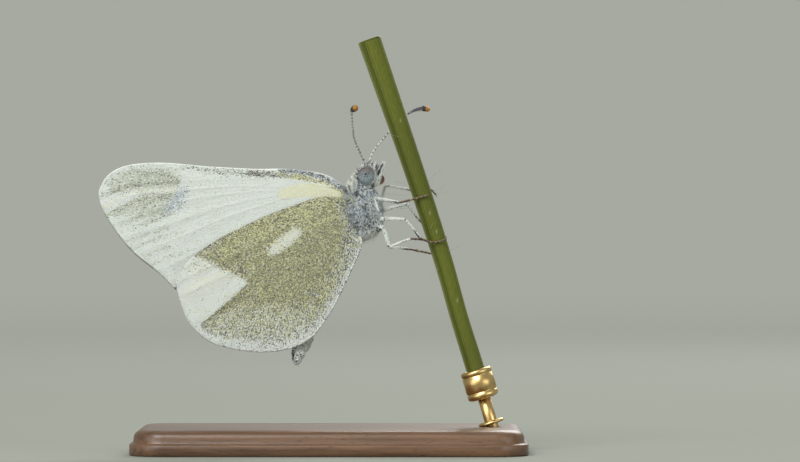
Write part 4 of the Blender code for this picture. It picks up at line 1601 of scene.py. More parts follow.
    def tufts(self, ground: Ground, rng: Random) -> None:
        """The longer tufts: a pale collar behind the head, hair under the breast and hair on the wing roots.

        Args:
            ground: the skin.
            rng: the random numbers.
        """
        x, y, z = (ground.cells()[..., k] for k in range(3))
        pale = TuftFinish("collar_hair", (0.48, 0.5, 0.45), (0.84, 0.86, 0.79))
        nape = sum(spot(x, z, place) for place in self.collar) * (x < np.where(z < 23.2, 2.2, 2.75))
        lock = Growth(HAIR, 0.54, 0.036, 38.0, 0.0, 0.22, 6.0)
        collar = ground.scatter(rng, 120, nape).aimed((-0.56, 0.0, 0.83)).swayed(rng, 20.0)
        dark = rng.random(len(collar.points)) < 0.26 + 0.45 * ramp(2.3, 2.45, collar.points[:, 0])
        locks = lock.grow(collar.pick(~dark).clumped(rng, 15, 0.045), rng)
        add_piece("collar_hair", locks, pale, coat=True)
        form = lock.grow(collar.pick(dark).clumped(rng, 10, 0.035), rng)
        add_piece("collar_dark_hair", form, Tone.DARK.value, coat=True)
        breast = spot(x, z, self.breast) * (z < 19.4) * (x > 2.5)
        under = ground.scatter(rng, 260, breast).aimed((0.25, 0.0, -1.0))
        form = Growth(HAIR, 0.5, 0.026, 32.0, 0.0, 0.3, 24.0).grow(under, rng)
        add_piece("breast_hair", form, pale, coat=True)
        back = bell(x - 1.75, 0.45) * ramp(18.9, 19.8, z) * (1 - ramp(22.3, 23.0, z)) * (np.abs(y) > 0.25)
        roots = ground.scatter(rng, 1500, back).aimed((-0.9, 0.0, -0.35))
        self.layer("wing_root_hair", roots, Growth(HAIR, 0.75, 0.03, 17.0, -0.05, 0.3, 16.0), rng)

    def build_lashes(self, eyes: "Eyes", rng: Random) -> None:
        """The ring of hair round each eye, white and longest in front, where it leans over the eye's edge.

        Args:
            eyes: the eyes.
            rng: the random numbers.
        """
        count, even = self.lashes
        turn = np.concatenate([rng.uniform(-math.pi, math.pi, even), rng.normal(-0.15, 0.62, count - even)])
        for side in Side:
            out = vectors(np.cos(turn), 0 * turn, np.sin(turn))
            front, low = bell(turn + 0.15, 0.85), 0.8 * bell(turn + 1.5, 0.7)
            reach = 1.0 + 0.05 * rng.random(count) - 0.17 * np.maximum(front, low) * rng.random(count)
            radii = np.array((eyes.radii[0], 0.0, eyes.radii[2]))
            centre = np.array((eyes.centre[0], 0.0, eyes.centre[2]))
            points = centre + out * radii * reach[:, None]
            points[:, 1] = side.value * (0.46 + 0.22 * (0.4 + 0.6 * front) * rng.random(count))
            normals = unit(out * 0.5 + np.array((0.0, side.value, 0.0)))
            inward = np.maximum(front, 0.9 * rng.random(count))[:, None]
            lie = out * (0.3 - 0.9 * inward) + np.array((0.05, 0.0, 0.45)) * front[:, None]
            places = vectors(turn / FULL_TURN + 0.5, 0.9 + 0.08 * reach)
            roots = Roots(points, normals, flattened(lie, normals), np.clip(places, 0.0, 0.99))
            dark = rng.random(count) < 0.3 - 0.24 * front + 0.35 * bell(np.abs(turn) - 2.9, 0.7)
            growth = Growth(HAIR, 0.26, 0.03, 48.0, 0.0, 0.25, 22.0)
            add_two_tones(f"lashes_{side.word}", growth, roots, dark, rng)


@dataclass(frozen=True)
class Eyes:
    """The two compound eyes, set in the sides of the head."""

    centre: Place = (3.2, 0.42, 23.83)
    radii: Place = (0.8, 0.62, 0.8)
    inner: float = 0.2
    rows: int = 72
    columns: int = 128
    pupil: Place = (3.08, 0.0, 24.01)

    def covers(self, x: Array, y: Array, z: Array, grow: float) -> Array:
        """1 where a point lies in an eye, grown by a factor, and 0 elsewhere.

        Args:
            x: the points' first coordinates.
            y: their second coordinates.
            z: their third coordinates.
            grow: the factor.

        Returns:
            An array of 1 and 0.
        """
        x0, y0, z0 = self.centre
        parts = ((x - x0) / self.radii[0], (np.abs(y) - y0) / self.radii[1], (z - z0) / self.radii[2])
        return (sum(part**2 for part in parts) < grow**2).astype(float)

    def build(self) -> None:
        """Makes each eye: an ellipsoid in polar angles whose inner side stops at the inner plane."""
        turn = turns(self.columns)[None, :]
        down = np.linspace(0.02, math.pi - 0.02, self.rows)[:, None]
        for side in Side:
            out = self.centre[1] + self.radii[1] * np.cos(down) * np.ones_like(turn)
            x = self.centre[0] + self.radii[0] * np.sin(down) * np.cos(turn)
            z = self.centre[2] + self.radii[2] * np.sin(down) * np.sin(turn)
            rings = vectors(x, side.value * np.maximum(out, self.inner), z)
            name = f"eye_{side.word}"
            add_piece(name, tube(rings), EyeFinish("compound_eye", self.pupil), (name,))


@dataclass(frozen=True)
class Mouthparts:
    """The two bristly palps and the coiled tongue between them."""

    palp: Line = (
        (3.98, 0.5, 22.98), (4.09, 0.52, 23.42), (4.25, 0.5, 23.95), (4.42, 0.46, 24.42), (4.58, 0.42, 24.84),
    )
    palp_radii: Line = ((0.09,), (0.13,), (0.14,), (0.11,), (0.04,))
    streak: Line = ((4.15, 23.88), (4.29, 24.42), (4.5, 24.86))
    streak_width: float = 0.075
    coil: Place = (4.28, 0.0, 23.585)
    coil_turns: float = 2.9
    coil_start: float = 2.98
    coil_radii: Place = (0.07, 0.45)
    tongue: float = 0.078
    horn: Colour = (0.74, 0.46, 0.31)
    # The horn colour in painted shade.
    shaded_horn: Colour = (0.15, 0.08, 0.062)

    def build(self, rng: Random) -> None:
        """Makes both palps with their bristles, and the tongue.

        Args:
            rng: the random numbers.
        """
        for side in Side:
            self.build_palp(side, rng)
        self.build_tongue()

    def build_palp(self, side: Side, rng: Random) -> None:
        """A tapered body, with white bristles in front and below and a black streak on the outer side.

        Args:
            side: the palp's side.
            rng: the random numbers.
        """
        path = smooth_path(np.array(self.palp) * (1.0, side.value, 1.0), 40)
        sizes = smooth_path(self.palp_radii, 40) * round_ends(np.linspace(0, 1, 40), 0.1)[:, None]
        rings = rings_along(path, sizes, 20)
        name = f"palp_{side.word}"
        out = side.value * (rings - path[:, None])[..., 1] / sizes
        gap = off_line(rings[..., 0], rings[..., 2], self.streak)[0]
        streak = (1 - ramp(self.streak_width, 2 * self.streak_width, gap)) * ramp(0.0, 0.3, out)
        tint = Tone.WHITE.value.mean * (1 - 0.93 * streak[..., None]) * 0.8
        finish = PaintedFinish("palp_skin", 0.6, 0.04, 0.6)
        add_piece(name, painted_tube(rings, tint), finish, (name,))
        roots = Ground(rings).scatter(rng, 1000, way=1.0)
        gap = off_line(roots.points[:, 0], roots.points[:, 2] + 0.12, self.streak)[0]
        outer = (side.value * roots.normals[:, 1] > 0.1) & (roots.normals[:, 0] < 0.3)
        dark = outer & (gap < self.streak_width * rng.uniform(0.9, 1.5, len(gap)))
        dark = dark | (rng.random(len(gap)) < 0.05)
        bristle = Growth(HAIR, 0.3, 0.034, 24.0, 0.0, 0.3, 10.0)
        black = TuftFinish("palp_black", (0.01, 0.011, 0.01), (0.03, 0.03, 0.028))
        add_two_tones(f"{name}_bristles", bristle, roots, dark, rng, black)

    def build_tongue(self) -> None:
        """A flat coil: the radius grows evenly with the turn, fine rings mark the tube, and painted light and
        shade make the outer turns' outer faces horn and the rest darker.
        """
        t = np.linspace(0.0, 1.0, 260)
        turn = FULL_TURN * self.coil_turns * t + self.coil_start
        radius = self.coil_radii[0] + (self.coil_radii[1] - self.coil_radii[0]) * t
        path = np.array(self.coil) + vectors(radius * np.cos(turn), 0 * t, -radius * np.sin(turn))
        size = self.tongue * (0.7 + 0.3 * t) * round_ends(t, 0.02) * (1 + 0.04 * np.sin(260 * t))
        rings = rings_along(path, size[:, None], 16)
        spokes = unit(rings - path[:, None])
        out = (spokes * unit(path - np.array(self.coil))[:, None]).sum(-1)
        # Painted light and shade: horn on the outer turns' outward faces, the darker horn elsewhere.
        lit = (ramp(-0.2, 0.8, out) * ramp(0.45, 0.7, t)[:, None])[..., None]
        tint = blend(self.shaded_horn, self.horn, lit) * (1 + 0.15 * np.sin(260 * t))[:, None, None]
        finish = PaintedFinish("tongue_horn", 0.38, 0.05, 0.7, 0.004, 0.5)
        add_piece("proboscis", painted_tube(rings, tint), finish, ("proboscis",))


# ---- feelers


@dataclass(frozen=True)
class Antenna:
    """One feeler: a jointed shaft banded in white and dark, and its club."""

    side: Side
    shaft: Line
    club: Line
    dusk: float = 0.04
    joints: int = 17
    radius: float = 0.07
    club_radius: float = 0.25
    club_start: float = 0.07
    white: Colour = (0.72, 0.74, 0.72)
    dark: Colour = (0.045, 0.04, 0.038)
    black: Place = (0.5, 0.62)
    bare: Place = (0.66, 0.72)
    violet: Colour = (0.17, 0.165, 0.18)
    orange: Colour = (0.47, 0.205, 0.04)
    pale_start: float = 0.0
    widest: float = 0.78

    def build(self, rng: Random) -> None:
        """Makes the shaft, its small scales and the club.

        Args:
            rng: the random numbers.
        """
        rows = 8 * self.joints + 1
        path = smooth_path(self.shaft, rows)
        t = np.linspace(0.0, 1.0, rows)
        part = np.mod(t * self.joints, 1.0)
        base = 1 + 0.9 * bell(t, 0.035)
        size = self.radius * base * (0.9 + 0.16 * part) * round_ends(t, 0.01)
        rings = rings_along(path, size[:, None], 16)
        ring = ramp(0.7, 0.8, part) * (1 - ramp(0.94, 1.0, part))
        tint = blend(self.white, self.dark, ring[:, None, None])
        name = f"antenna_{self.side.word}"
        finish = PaintedFinish("feeler_skin", 0.55, 0.04, 0.72, 0.004)
        add_piece(name, painted_tube(rings, tint), finish, (name,))
        self.build_scales(rings, rng)
        self.build_club()

    def build_scales(self, rings: Array, rng: Random) -> None:
        """Small scales that lie towards the tip, dark at the joints' dark rings.

        Args:
            rings: the shaft's grid.
            rng: the random numbers.
        """
        roots = Ground(rings).scatter(rng, 1500, way=1.0)
        part = np.mod(roots.places[:, 1] * self.joints, 1.0)
        back = (roots.normals[:, 0] < -0.2) & (roots.places[:, 1] < 0.32) & (part > 0.35)
        dusted = rng.random(len(part)) < self.dusk + 0.9 * back * (self.dusk > 0.1)
        dark = (part > 0.66) & (part < 0.86) | dusted
        growth = Growth(SCALE, 0.085, 0.034, 8.0, 0.0, 0.2, 10.0)
        add_two_tones(f"antenna_{self.side.word}_scales", growth, roots, dark, rng)

    def build_club(self) -> None:
        """The club swells over its first half and ends in a bare round tip.

        It is violet-grey with a pale under side and upper edge, partly its own pale under side and partly a
        painted rim highlight, then black, then orange at the tip, and its joints show as shallow rings.
        """
        rows, columns = 120, 32
        t = eased(rows)
        line = smooth_path(self.club, 400)
        spots = np.linspace(0.0, 1.0, len(line))
        path = np.stack([np.interp(t, spots, line[:, k]) for k in range(3)], axis=-1)
        swell = self.club_start + (self.club_radius - self.club_start) * ramp(0.0, self.widest, t)
        beyond = np.clip((t - self.widest) / (1 - self.widest), 0, 1)
        size = swell * np.sqrt(np.clip(1 - beyond**2, 1e-4, 1))
        size = size * (1 - 0.03 * np.cos(FULL_TURN * 9 * t)) * np.sqrt(np.clip(t / 0.02, 1e-3, 1))
        rings = rings_along(path, size[:, None], columns)
        down, t = unit(rings - path[:, None])[..., 2:], t[:, None, None]
        # Painted rim highlight on the club's upper and lower edges, over its own pale under side.
        rim = 1 - ramp(-0.85, -0.35, down) + 0.55 * ramp(0.55, 0.95, down)
        pale = np.maximum(rim * (1 - ramp(0.62, 0.8, t)), self.pale_start * (1 - ramp(0.06, 0.26, t)))
        tint = blend(self.violet, self.white, pale)
        tint = blend(tint, self.dark, ramp(*self.black, t))
        tint = blend(tint, self.orange, ramp(*self.bare, t))
        name = f"antenna_club_{self.side.word}"
        finish = PaintedFinish("club_skin", 0.5, 0.05, 0.66, 0.005)
        add_piece(name, painted_tube(rings, tint), finish, (name,))


# ---- legs


@dataclass(frozen=True)
class Leg:
    """One leg: femur, tibia and a tarsus of five joints with its claws.

    The path is the hip in the breast, the femur's start, knee, ankle and then the tarsus.
    """

    name: str
    path: Line
    # How dark the tibia's under side is over its far half: partly its own dark scales, partly painted shade.
    shin_dark_and_shade: float = 0.0
    coxa: float = 0.19
    femur: float = 0.13
    tibia: float = 0.095
    tarsus: float = 0.088
    claw: Place = (0.17, -0.12)
    joints: Place = (0.0, 0.38, 0.58, 0.74, 0.87, 1.0)
    white: Colour = (0.7, 0.73, 0.74)
    grey: Colour = (0.13, 0.12, 0.12)
    red: Colour = (0.088, 0.048, 0.03)
    cream: Colour = (0.6, 0.48, 0.25)

    def build(self, rng: Random) -> None:
        """Makes the three parts, their scales and the claws.

        Args:
            rng: the random numbers.
        """
        hip, start, knee, ankle = (np.array(point) for point in self.path[:4])
        coxa = self.segment(hip, start, self.coxa, (1.1, 1.0, 0.8))
        self.limb("femur", [coxa, self.segment(start, knee, self.femur, (1.0, 1.05, 0.72))], rng)
        self.limb("tibia", [self.segment(knee, ankle, self.tibia, (0.75, 0.9, 1.05))], rng)
        self.build_tarsus(np.array(self.path[3:]), rng)

    def segment(self, start: Array, end: Array, radius: float, swell: Place) -> Array:
        """The rings of a part between two joints, bowed a little.

        Args:
            start: the near joint.
            end: the far joint.
            radius: its radius.
            swell: factors on the radius at its start, middle and end.

        Returns:
            A (rows, columns, 3) grid.
        """
        t = eased(44)
        bow = 0.02 * np.linalg.norm(end - start) * np.sin(math.pi * t)
        path = start + (end - start) * t[:, None] + bow[:, None] * np.array((0.2, 0.0, 0.6))
        size = radius * np.interp(t, (0.0, 0.4, 1.0), swell) * round_ends(t, 0.05)
        return rings_along(path, size[:, None], 20)

    def limb(self, part: str, segments: list[Array], rng: Random) -> None:
        """A part with scales that lie towards its far end, dark below on its far half and under its joint,
        partly its own dark scales and partly painted shade.

        Args:
            part: the part's name.
            segments: the rings of each of its segments.
            rng: the random numbers.
        """
        name = f"{self.name}_{part}"
        shin = self.shin_dark_and_shade if part == "tibia" else 0.0
        forms, coats = [], {Tone.DARK: [], Tone.WHITE: []}
        for rings in segments:
            t = eased(len(rings))
            # Painted shade, with some of the leg's own dark: the under side darker over the tibia's far half
            # and under the joint.
            below = ramp(0.1, 0.5, -unit(rings - rings.mean(1, keepdims=True))[..., 2])
            share = below * (ramp(0.4, 0.65, t) * shin + 0.9 * bell(1 - t, 0.06))[:, None] + 0.03
            share = np.clip(share + 0.8 * bell(1 - t, 0.02)[:, None], 0, 1)[..., None]
            forms.append(painted_tube(rings, blend(self.white, self.grey, share)))
            length = np.linalg.norm(rings[-1].mean(0) - rings[0].mean(0))
            roots = Ground(rings).scatter(rng, int(330 * length), way=1.0)
            along = (1 - np.cos(math.pi * roots.places[:, 1])) / 2
            # The same painted shade on the scales: dark scales on the under side, partly the leg's own dark
            # ones.
            under = roots.normals[:, 2] < 0.12
            underside_dark_and_shade = shin * ramp(0.4, 0.65, along) + 0.9 * bell(1 - along, 0.1)
            dark = rng.random(len(along)) < 0.03 + 0.95 * under * underside_dark_and_shade
            clear = along < 1 - 0.16 / length
            growth = Growth(SCALE, 0.15, 0.065, 4.0, 0.0, 0.25, 7.0)
            for chosen, tone in ((dark & clear, Tone.DARK), (~dark & clear, Tone.WHITE)):
                coats[tone].append(growth.grow(roots.pick(chosen), rng))
        finish = PaintedFinish("leg_skin", 0.55, 0.05, 0.6, 0.005)
        add_piece(name, join(forms), finish, (name,))
        for tone, parts in coats.items():
            add_piece(f"{name}_scales_{tone.word}", join(parts), tone.value, coat=True)

    def build_tarsus(self, line: Array, rng: Random) -> None:
        """Five joints that widen towards their far ends, with cream rings, a painted highlight on top, spines
        and two hooked claws.

        Args:
            line: the points of its path.
            rng: the random numbers.
        """
        rows, columns = 120, 16
        path = smooth_path(line, rows)
        t = np.linspace(0.0, 1.0, rows)
        ends = np.array(self.joints)
        joint = np.clip(np.searchsorted(ends, t, side="right") - 1, 0, 4)
        part = (t - ends[joint]) / (ends[joint + 1] - ends[joint])
        size = self.tarsus * (1.05 - 0.2 * t) * (0.86 + 0.28 * part**2) * round_ends(t, 0.02)
        rings = rings_along(path, size[:, None], columns)
        ring = (1 - ramp(0.04, 0.34, part)) * (joint > 0)
        share = (ring * 0.85)[:, None, None]
        # Painted highlight: the tarsus's top a quarter of the way to cream.
        share = np.maximum(share, 0.25 * ramp(0.45, 0.8, unit(rings - path[:, None])[..., 2:]))
        forms = [painted_tube(rings, blend(self.red, self.cream, share))]
        way = unit(path[-1] - path[-6])
        aside = unit(np.cross(way, (0.0, 0.0, 1.0)))
        up = np.cross(aside, way)
        s = np.linspace(0.0, 1.0, 16)[:, None]
        for turn in (-1, 1):
            reach, rise = self.claw
            hook = path[-1] + way * reach * np.sin(2.2 * s) + aside * turn * 0.08 * s + up * rise * s**1.6
            claw = rings_along(hook, 0.026 * (1 - 0.85 * s), 8, tuple(aside))
            forms.append(tube(claw).painted(np.array(self.red) * 0.45))
        name = f"{self.name}_tarsus"
        finish = PaintedFinish("tarsus_horn", 0.42, 0.06, 0.55, 0.005, 0.45)
        add_piece(name, join(forms), finish, (name,))
        weight = np.repeat(0.2 + part[:-1, None] ** 3, columns, axis=1)
        roots = Ground(rings).scatter(rng, 150, weight, 1.0)
        form = Growth(HAIR, 0.1, 0.017, 26.0, 0.0, 0.3, 12.0).grow(roots, rng)
        add_piece(f"{name}_spines", form, Tone.BROWN.value, coat=True)


# ---- perch and stand


@dataclass(frozen=True)
class GrassStem:
    """The cut length of ribbed grass stem, with a few long fine hairs."""

    path: Line = (
        (13.14, 5.2), (12.31, 7.95), (11.23, 11.4), (9.88, 16.2), (8.62, 20.2), (6.96, 25.23), (5.18, 30.4),
        (3.39, 35.6),
    )
    radii: Place = (0.8, 0.79, 0.77, 0.8, 0.85, 0.88, 0.93, 1.0)
    rows: int = 240
    columns: int = 132
    ribs: int = 22
    rib_depth: float = 0.022
    groove: Place = (-2.24, 0.3, 0.015)  # angle, half angle and depth of the deep groove
    leaf: Colour = (0.084, 0.098, 0.009)
    rib: Colour = (0.145, 0.165, 0.026)
    edge: Colour = (0.19, 0.215, 0.1)
    # The colour of the painted highlight along both edges.
    pith: Colour = (0.42, 0.43, 0.26)
    scuffs: Line = ((8.62, 20.65), (9.2, 19.06), (11.0, 13.1), (6.1, 28.6))
    hairs: tuple[Line, ...] = (
        ((5.62, -0.9, 23.35), (6.2, -1.0, 23.25), (6.89, -0.8, 22.81)),
        ((4.9, 0.3, 22.3), (6.1, 0.2, 22.2), (7.4, 0.1, 22.25)),
        ((6.0, 0.9, 21.0), (6.9, 0.5, 21.08), (7.7, 0.1, 20.9)),
        ((8.4, -0.2, 23.3), (9.0, -0.6, 23.9), (9.9, -1.1, 24.5)),
        ((8.7, 0.2, 22.45), (9.7, 0.4, 22.9), (10.51, 0.5, 23.5)),
        ((8.7, -0.2, 22.35), (9.6, -0.3, 22.36), (10.44, -0.4, 22.5)),
        ((8.62, -0.9, 19.26), (8.8, -1.05, 19.6), (9.09, -1.0, 19.87)),
        ((9.63, -0.5, 19.6), (9.82, -0.6, 19.45), (9.94, -0.6, 19.26)),
        ((10.2, -0.6, 17.4), (10.8, -1.1, 17.6), (11.6, -1.4, 18.2)),
        ((9.4, -0.5, 15.9), (8.8, -0.9, 15.1), (8.5, -1.2, 14.2)),
        ((6.2, -0.7, 27.1), (5.5, -1.2, 27.3), (4.6, -1.5, 27.1)),
    )

    def build(self) -> None:
        """Makes the stem with its cut top, and the hairs."""
        skin = PaintedFinish("grass_skin", 0.5, 0.5, 0.72, 0.01, 0.2, (6.0, 6.0, 0.7))
        add_piece("perch_stem", self.stem(), skin, ("perch_stem",))
        forms = []
        for line in self.hairs:
            path = smooth_path(line, 24)
            size = 0.016 * (1 - 0.8 * np.linspace(0, 1, 24))[:, None]
            forms.append(tube(rings_along(path, size, 6, (0.1, 0.3, 1.0))).painted((0.3, 0.31, 0.17)))
        down = PaintedFinish("grass_hair", 0.4, 0.1, 0.8, 0.003)
        add_piece("perch_stem_hairs", join(forms), down)

    def stem(self) -> Form:
        """The ribbed surface.

        Its radius is less the rib depth times one minus the root of the absolute cosine of half the ribs
        times the angle, less a bell for the deep groove. The last rows turn in over the cut and down into
        the hollow.

        Returns:
            The painted form.
        """
        line = smooth_path(np.column_stack([self.path, self.radii]), self.rows)
        way = unit(line[-1, :2] - line[-2, :2])
        inward = ((1.0, 0.0), (0.985, 0.03), (0.6, 0.035), (0.42, 0.03), (0.36, -0.05), (0.3, -0.9))
        cut = [np.append(line[-1, :2] + rise * way, line[-1, 2]) for _, rise in inward]
        line = np.concatenate([line, cut])
        shrink = np.concatenate([np.ones(self.rows), [share for share, _ in inward]])
        angle = np.linspace(-math.pi, math.pi, self.columns, endpoint=False)[None, :]
        height = np.linspace(0.0, 1.0, len(line))[:, None]
        wave = np.abs(np.cos(self.ribs / 2 * angle + 0.35 * np.sin(3.0 * height))) ** 0.5
        gap = np.angle(np.exp(1j * (angle - self.groove[0])))
        deep = bell(gap, self.groove[1])
        size = line[:, 2:] - self.rib_depth * (1 - wave) - self.groove[2] * deep
        size = size * (1 + 0.012 * np.sin(9.0 * height + 2 * angle)) * shrink[:, None]
        middle = vectors(line[:, 0], 0 * line[:, 0], line[:, 1])
        along = np.gradient(middle[: self.rows], axis=0)
        along = unit(np.concatenate([along, np.repeat(along[-1:], len(inward), axis=0)]))
        across = np.cross((0.0, 1.0, 0.0), along)
        cosine, sine = np.cos(angle)[..., None], np.sin(angle)[..., None]
        spokes = cosine * across[:, None] + sine * np.array((0.0, 1.0, 0.0))
        rings = middle[:, None] + size[..., None] * spokes
        tint = self.tint(angle, height, wave, deep, shrink)
        scuff = sum(bell(np.hypot(2.2 * (rings[..., 0] - x), rings[..., 2] - z), 0.14) for x, z in self.scuffs)
        scuff = np.clip(0.5 * scuff, 0.0, 1.0)[..., None]
        return painted_tube(rings, blend(tint, self.pith, scuff))

    def tint(self, angle: Array, height: Array, wave: Array, deep: Array, shrink: Array) -> Array:
        """Green, paler on each rib, with a painted highlight on both edges, painted shade in the groove, pale
        on the cut and painted shade down in the hollow.

        Args:
            angle: the angle round the stem.
            height: from 0 at the foot to 1 at the top.
            wave: 0 between the ribs and 1 on them.
            deep: 1 in the deep groove.
            shrink: each row's factor on the radius, under 1 on the cut.

        Returns:
            The tint at each point.
        """
        share = (ramp(0.55, 1.0, wave) * (0.55 + 0.45 * np.sin(2.0 * angle + 0.8)))[..., None]
        tint = blend(self.leaf, self.rib, share)
        # Painted highlight along the stem's two edges, and painted shade in the deep groove.
        edges = ((-2.95, 0.24, 1.0), (-0.2, 0.22, 0.6))
        pale = sum(much * bell(np.angle(np.exp(1j * (angle - at))), width) for at, width, much in edges)
        tint = blend(tint, self.edge, pale[..., None]) * (1 - 0.46 * deep[..., None])
        tint = tint * (1.1 + 0.1 * np.cos(FULL_TURN * (height - 0.3) / 0.6)[..., None])
        cut = ramp(0.01, 0.05, 1 - shrink)[:, None, None]
        # Painted shade where the rows turn down into the hollow.
        hollow = ramp(0.6, 0.68, 1 - shrink)[:, None, None]
        return blend(tint, self.pith, cut) * (1 - 0.8 * hollow)


@dataclass(frozen=True)
class Stand:
    """The display stand: a moulded wooden base, a brass rod and the turned ferrule round the stem's foot."""

    base: Place = (34.0, 17.0, 2.2)
    corner: float = 3.0
    foot: Place = (13.14, 5.2)
    lean: Place = (12.31, 7.95)
    rod: float = 0.55
    profile: Line = (
        (0.55, -0.6), (0.95, -0.6), (1.22, -0.52), (1.35, -0.38), (1.35, -0.05), (1.27, 0.0), (1.27, 0.08),
        (1.35, 0.13), (1.35, 1.42), (1.27, 1.47), (1.27, 1.55), (1.35, 1.6), (1.35, 1.84), (1.27, 1.96),
        (1.12, 2.0), (0.9, 2.0), (0.84, 1.94), (0.84, 0.4),
    )

    def build(self) -> None:
        """Makes the base, the rod with its washer, and the ferrule."""
        wood = WoodFinish("stained_walnut", (0.15, 0.078, 0.04), (0.05, 0.024, 0.013))
        brass = BrassFinish("satin_brass", (0.66, 0.47, 0.2), (0.42, 0.28, 0.11))
        add_piece("stand_base", self.plinth(), wood, ("stand_base",))
        sleeve = self.turned(np.array(self.profile))
        add_piece("stand_ferrule", sleeve, brass, ("stand_ferrule",))
        way = unit(np.subtract(self.lean, self.foot))
        low = -(self.foot[1] - self.base[2]) / way[1] - 0.25
        rod = np.array(
            ((self.rod - 0.02, low), (self.rod, low + 0.05), (self.rod, -0.66), (self.rod - 0.06, -0.62))
        )
        washer = np.array(((0.6, 0.22), (1.02, 0.22), (1.12, 0.3), (1.12, 0.42), (1.02, 0.5), (0.6, 0.52)))
        washer[:, 1] += low + 0.28
        both = join([self.turned(rod), self.turned(washer)])
        add_piece("stand_rod", both, brass, ("stand_rod",))

    def turned(self, profile: Array) -> Form:
        """A profile of (radius, height along the stem's foot) turned round its axis.

        Args:
            profile: its points.

        Returns:
            The closed form.
        """
        way = unit(np.subtract(self.lean, self.foot))
        path = np.array((self.foot[0], 0.0, self.foot[1])) + profile[:, 1:] * np.array((way[0], 0.0, way[1]))
        across = np.array((way[1], 0.0, -way[0]))
        angle = turns(64)[None, :, None]
        spokes = np.cos(angle) * across + np.sin(angle) * np.array((0.0, 1.0, 0.0))
        return tube(path[:, None] + profile[:, :1, None] * spokes)

    def plinth(self) -> Form:
        """A slab with round corners: its outline is drawn in along a moulded profile of (inset, height).

        Returns:
            The closed form.
        """
        length, width, height = self.base
        profile = (
            (0.12, 0.0), (0.0, 0.1), (0.0, 0.9), (0.05, 0.98), (0.28, 1.02), (0.34, 1.1), (0.36, 1.5),
            (0.42, 1.75), (0.56, 1.95), (0.8, 2.1), (1.1, 2.18), (1.5, height), (4.0, height),
            (7.9, height),
        )
        inset, rise = np.array(profile).T[..., None]
        reach = np.maximum(self.corner - inset, 0.3)
        turn = turns(128) + FULL_TURN / 256
        x = np.sign(np.cos(turn)) * (length / 2 - inset - reach) + reach * np.cos(turn)
        y = np.sign(np.sin(turn)) * (width / 2 - inset - reach) + reach * np.sin(turn)
        return tube(vectors(x, y, rise + 0 * turn))


# ---- studio


@dataclass(frozen=True)
class Lamp:
    """A soft square light that faces the butterfly."""

    name: str
    place: Place  # millimetres
    size: float  # millimetres
    watts: float
    colour: Colour = (1.0, 1.0, 1.0)

    def build(self, target: Vector) -> None:
        """Makes the light.

        Args:
            target: what it faces.
        """
        data = bpy.data.lights.new(self.name, "AREA")
        data.energy, data.size, data.color = self.watts, self.size * MM, self.colour
        lamp = bpy.data.objects.new(self.name, data)
        bpy.context.scene.collection.objects.link(lamp)
        lamp.location = Vector(self.place) * MM
        lamp.rotation_euler = (target - lamp.location).to_track_quat("-Z", "Y").to_euler()


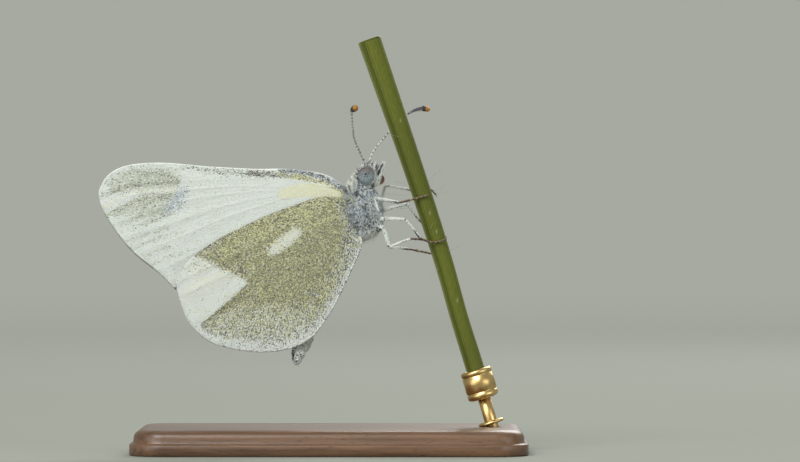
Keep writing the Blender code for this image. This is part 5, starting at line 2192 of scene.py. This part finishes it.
@dataclass(frozen=True)
class Studio:
    """A pale floor that fades into an even surround, soft lights and the camera."""

    surround: Colour = (0.385, 0.4, 0.355)
    centre: Place = (6.05, 0.0, 19.09)
    lens: float = 200.0
    sensor: float = 36.0
    frame_width: float = 69.1
    floor_sides: int = 96
    lamps: tuple[Lamp, ...] = (
        Lamp("key", (-170.0, -330.0, 330.0), 260.0, 2.25, (1.0, 0.99, 0.975)),
        Lamp("fill", (330.0, -300.0, 60.0), 300.0, 0.7, (0.95, 0.98, 1.0)),
        Lamp("low_fill", (-330.0, -330.0, 20.0), 300.0, 0.95, (0.97, 0.99, 1.0)),
        Lamp("rim", (120.0, 320.0, 260.0), 220.0, 1.1),
    )

    def build(self) -> None:
        """Makes floor, surround, lights and camera."""
        scene = bpy.context.scene
        scene.view_settings.view_transform = "Standard"
        world = bpy.data.worlds.new("surround")
        world.use_nodes = True
        world.node_tree.nodes["Background"].inputs["Color"].default_value = (*self.surround, 1.0)
        scene.world = world
        self.build_floor()
        for lamp in self.lamps:
            lamp.build(Vector(self.centre) * MM)
        data = bpy.data.cameras.new("camera")
        data.lens, data.sensor_width = self.lens, self.sensor
        data.clip_start, data.clip_end = 0.01, 20.0
        camera = bpy.data.objects.new("camera", data)
        scene.collection.objects.link(camera)
        away = self.frame_width * self.lens / self.sensor
        camera.location = Vector((self.centre[0], -away, self.centre[2])) * MM
        camera.rotation_euler = (math.radians(90), 0.0, 0.0)
        scene.camera = camera

    def build_floor(self) -> None:
        """A wide disc just under the stand."""
        turn = turns(self.floor_sides)
        reach = np.array((1.0, 100.0, 1000.0, 8000.0))[:, None]
        rings = vectors(reach * np.cos(turn), reach * np.sin(turn), 0 * reach * turn - 0.02)
        index = np.arange(rings.size // 3).reshape(rings.shape[:2])
        ahead = np.roll(index, -1, axis=1)
        quads = np.stack([index[1:], ahead[1:], ahead[:-1], index[:-1]], axis=-1).reshape(-1, 4)
        mesh = bpy.data.meshes.new("floor")
        mesh.from_pydata((rings.reshape(-1, 3) * MM).tolist(), [], [*quads.tolist(), index[0].tolist()])
        floor = bpy.data.objects.new("floor", mesh)
        mesh.materials.append(dress(FloorFinish("floor", (0.275, 0.29, 0.255), self.surround, 32.0, 1260.0)))
        bpy.context.scene.collection.objects.link(floor)
        floor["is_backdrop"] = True


ANTENNAE = (
    Antenna(
        Side.RIGHT,
        ((3.2, -0.36, 24.68), (2.6, -1.2, 25.88), (2.15, -2.45, 26.9), (2.0, -4.0, 27.85), (1.92, -5.4, 29.05)),
        ((1.92, -5.4, 29.05), (1.95, -5.72, 29.25), (2.08, -6.05, 29.43), (2.42, -6.42, 29.62)),
        0.12,
        radius=0.077,
        club_radius=0.275,
        black=(0.4, 0.52),
        bare=(0.76, 0.82),
        orange=(0.35, 0.15, 0.016),
    ),
    Antenna(
        Side.LEFT,
        ((3.28, 0.36, 24.55), (3.6, 0.78, 25.7), (3.98, 1.02, 26.32), (4.49, 1.3, 26.96), (5.24, 1.7, 27.82),
         (6.78, 2.45, 29.3)),
        ((6.78, 2.45, 29.3), (7.38, 2.75, 29.62), (8.02, 3.02, 29.76), (8.66, 3.24, 29.64)),
        club_start=0.1,
        violet=(0.105, 0.095, 0.112),
        black=(0.58, 0.68),
        bare=(0.74, 0.82),
        pale_start=0.25,
    ),
)

LEGS = (
    Leg("leg_front_right", ((4.0, -0.5, 20.35), (4.22, -0.66, 20.7), (3.84, -1.3, 21.94), (5.96, -1.22, 21.52),
                            (7.2, -1.08, 21.83), (8.5, -1.02, 22.2)), 0.7, femur=0.085, tibia=0.125),
    Leg("leg_mid_right", ((4.0, -0.4, 20.12), (4.75, -0.66, 20.16), (6.57, -1.22, 20.09), (7.81, -1.25, 18.45),
                          (8.39, -1.12, 18.22), (9.28, -1.02, 18.14), (10.01, -0.94, 18.37)), 0.95, femur=0.125,
        claw=(0.08, 0.32)),
    Leg("leg_hind_right", ((3.9, -0.4, 19.6), (4.64, -0.62, 19.36), (5.1, -0.95, 17.72), (6.97, -0.95, 18.43),
                           (7.78, -0.93, 18.37), (8.3, -0.9, 18.3)), 0.2, femur=0.165),
    Leg("leg_front_left", ((3.9, 0.6, 20.95), (4.5, 0.85, 21.6), (4.74, 1.05, 23.02), (6.98, 1.16, 22.66),
                           (7.7, 1.1, 22.64), (8.84, 1.0, 22.58), (9.14, 0.9, 22.25)), 0.12, tibia=0.11,
        tarsus=0.1),
    Leg("leg_mid_left", ((3.9, 0.4, 20.7), (4.5, 0.5, 20.86), (6.65, 1.1, 21.43), (7.69, 1.1, 20.04),
                         (8.9, 1.02, 19.0)), 0.6, femur=0.14, tibia=0.095),
    Leg("leg_hind_left", ((3.9, 0.4, 19.7), (4.6, 0.55, 19.35), (5.1, 0.9, 17.68), (6.85, 1.0, 17.53),
                          (8.9, 0.98, 17.11)), 1.0, femur=0.15),
)


def main() -> None:
    """Builds every part in order."""
    logging.basicConfig(level=logging.INFO, format="%(message)s", stream=sys.stdout)
    rng = np.random.default_rng(7)
    Studio().build()
    for side in Side:
        Wing(FOREWING, side, HINDWING).build(rng)
        Wing(HINDWING, side, left_turn=-0.4).build(rng)
    eyes = Eyes()
    eyes.build()
    Trunk().build(rng, eyes)
    Mouthparts().build(rng)
    for part in (*ANTENNAE, *LEGS):
        part.build(rng)
    GrassStem().build()
    Stand().build()
    both = {"cad": CAD_BOX, "visual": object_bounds()}
    boxes = {name: [list(corner) for corner in box] for name, box in both.items()}


if __name__ == "__main__":
    main()
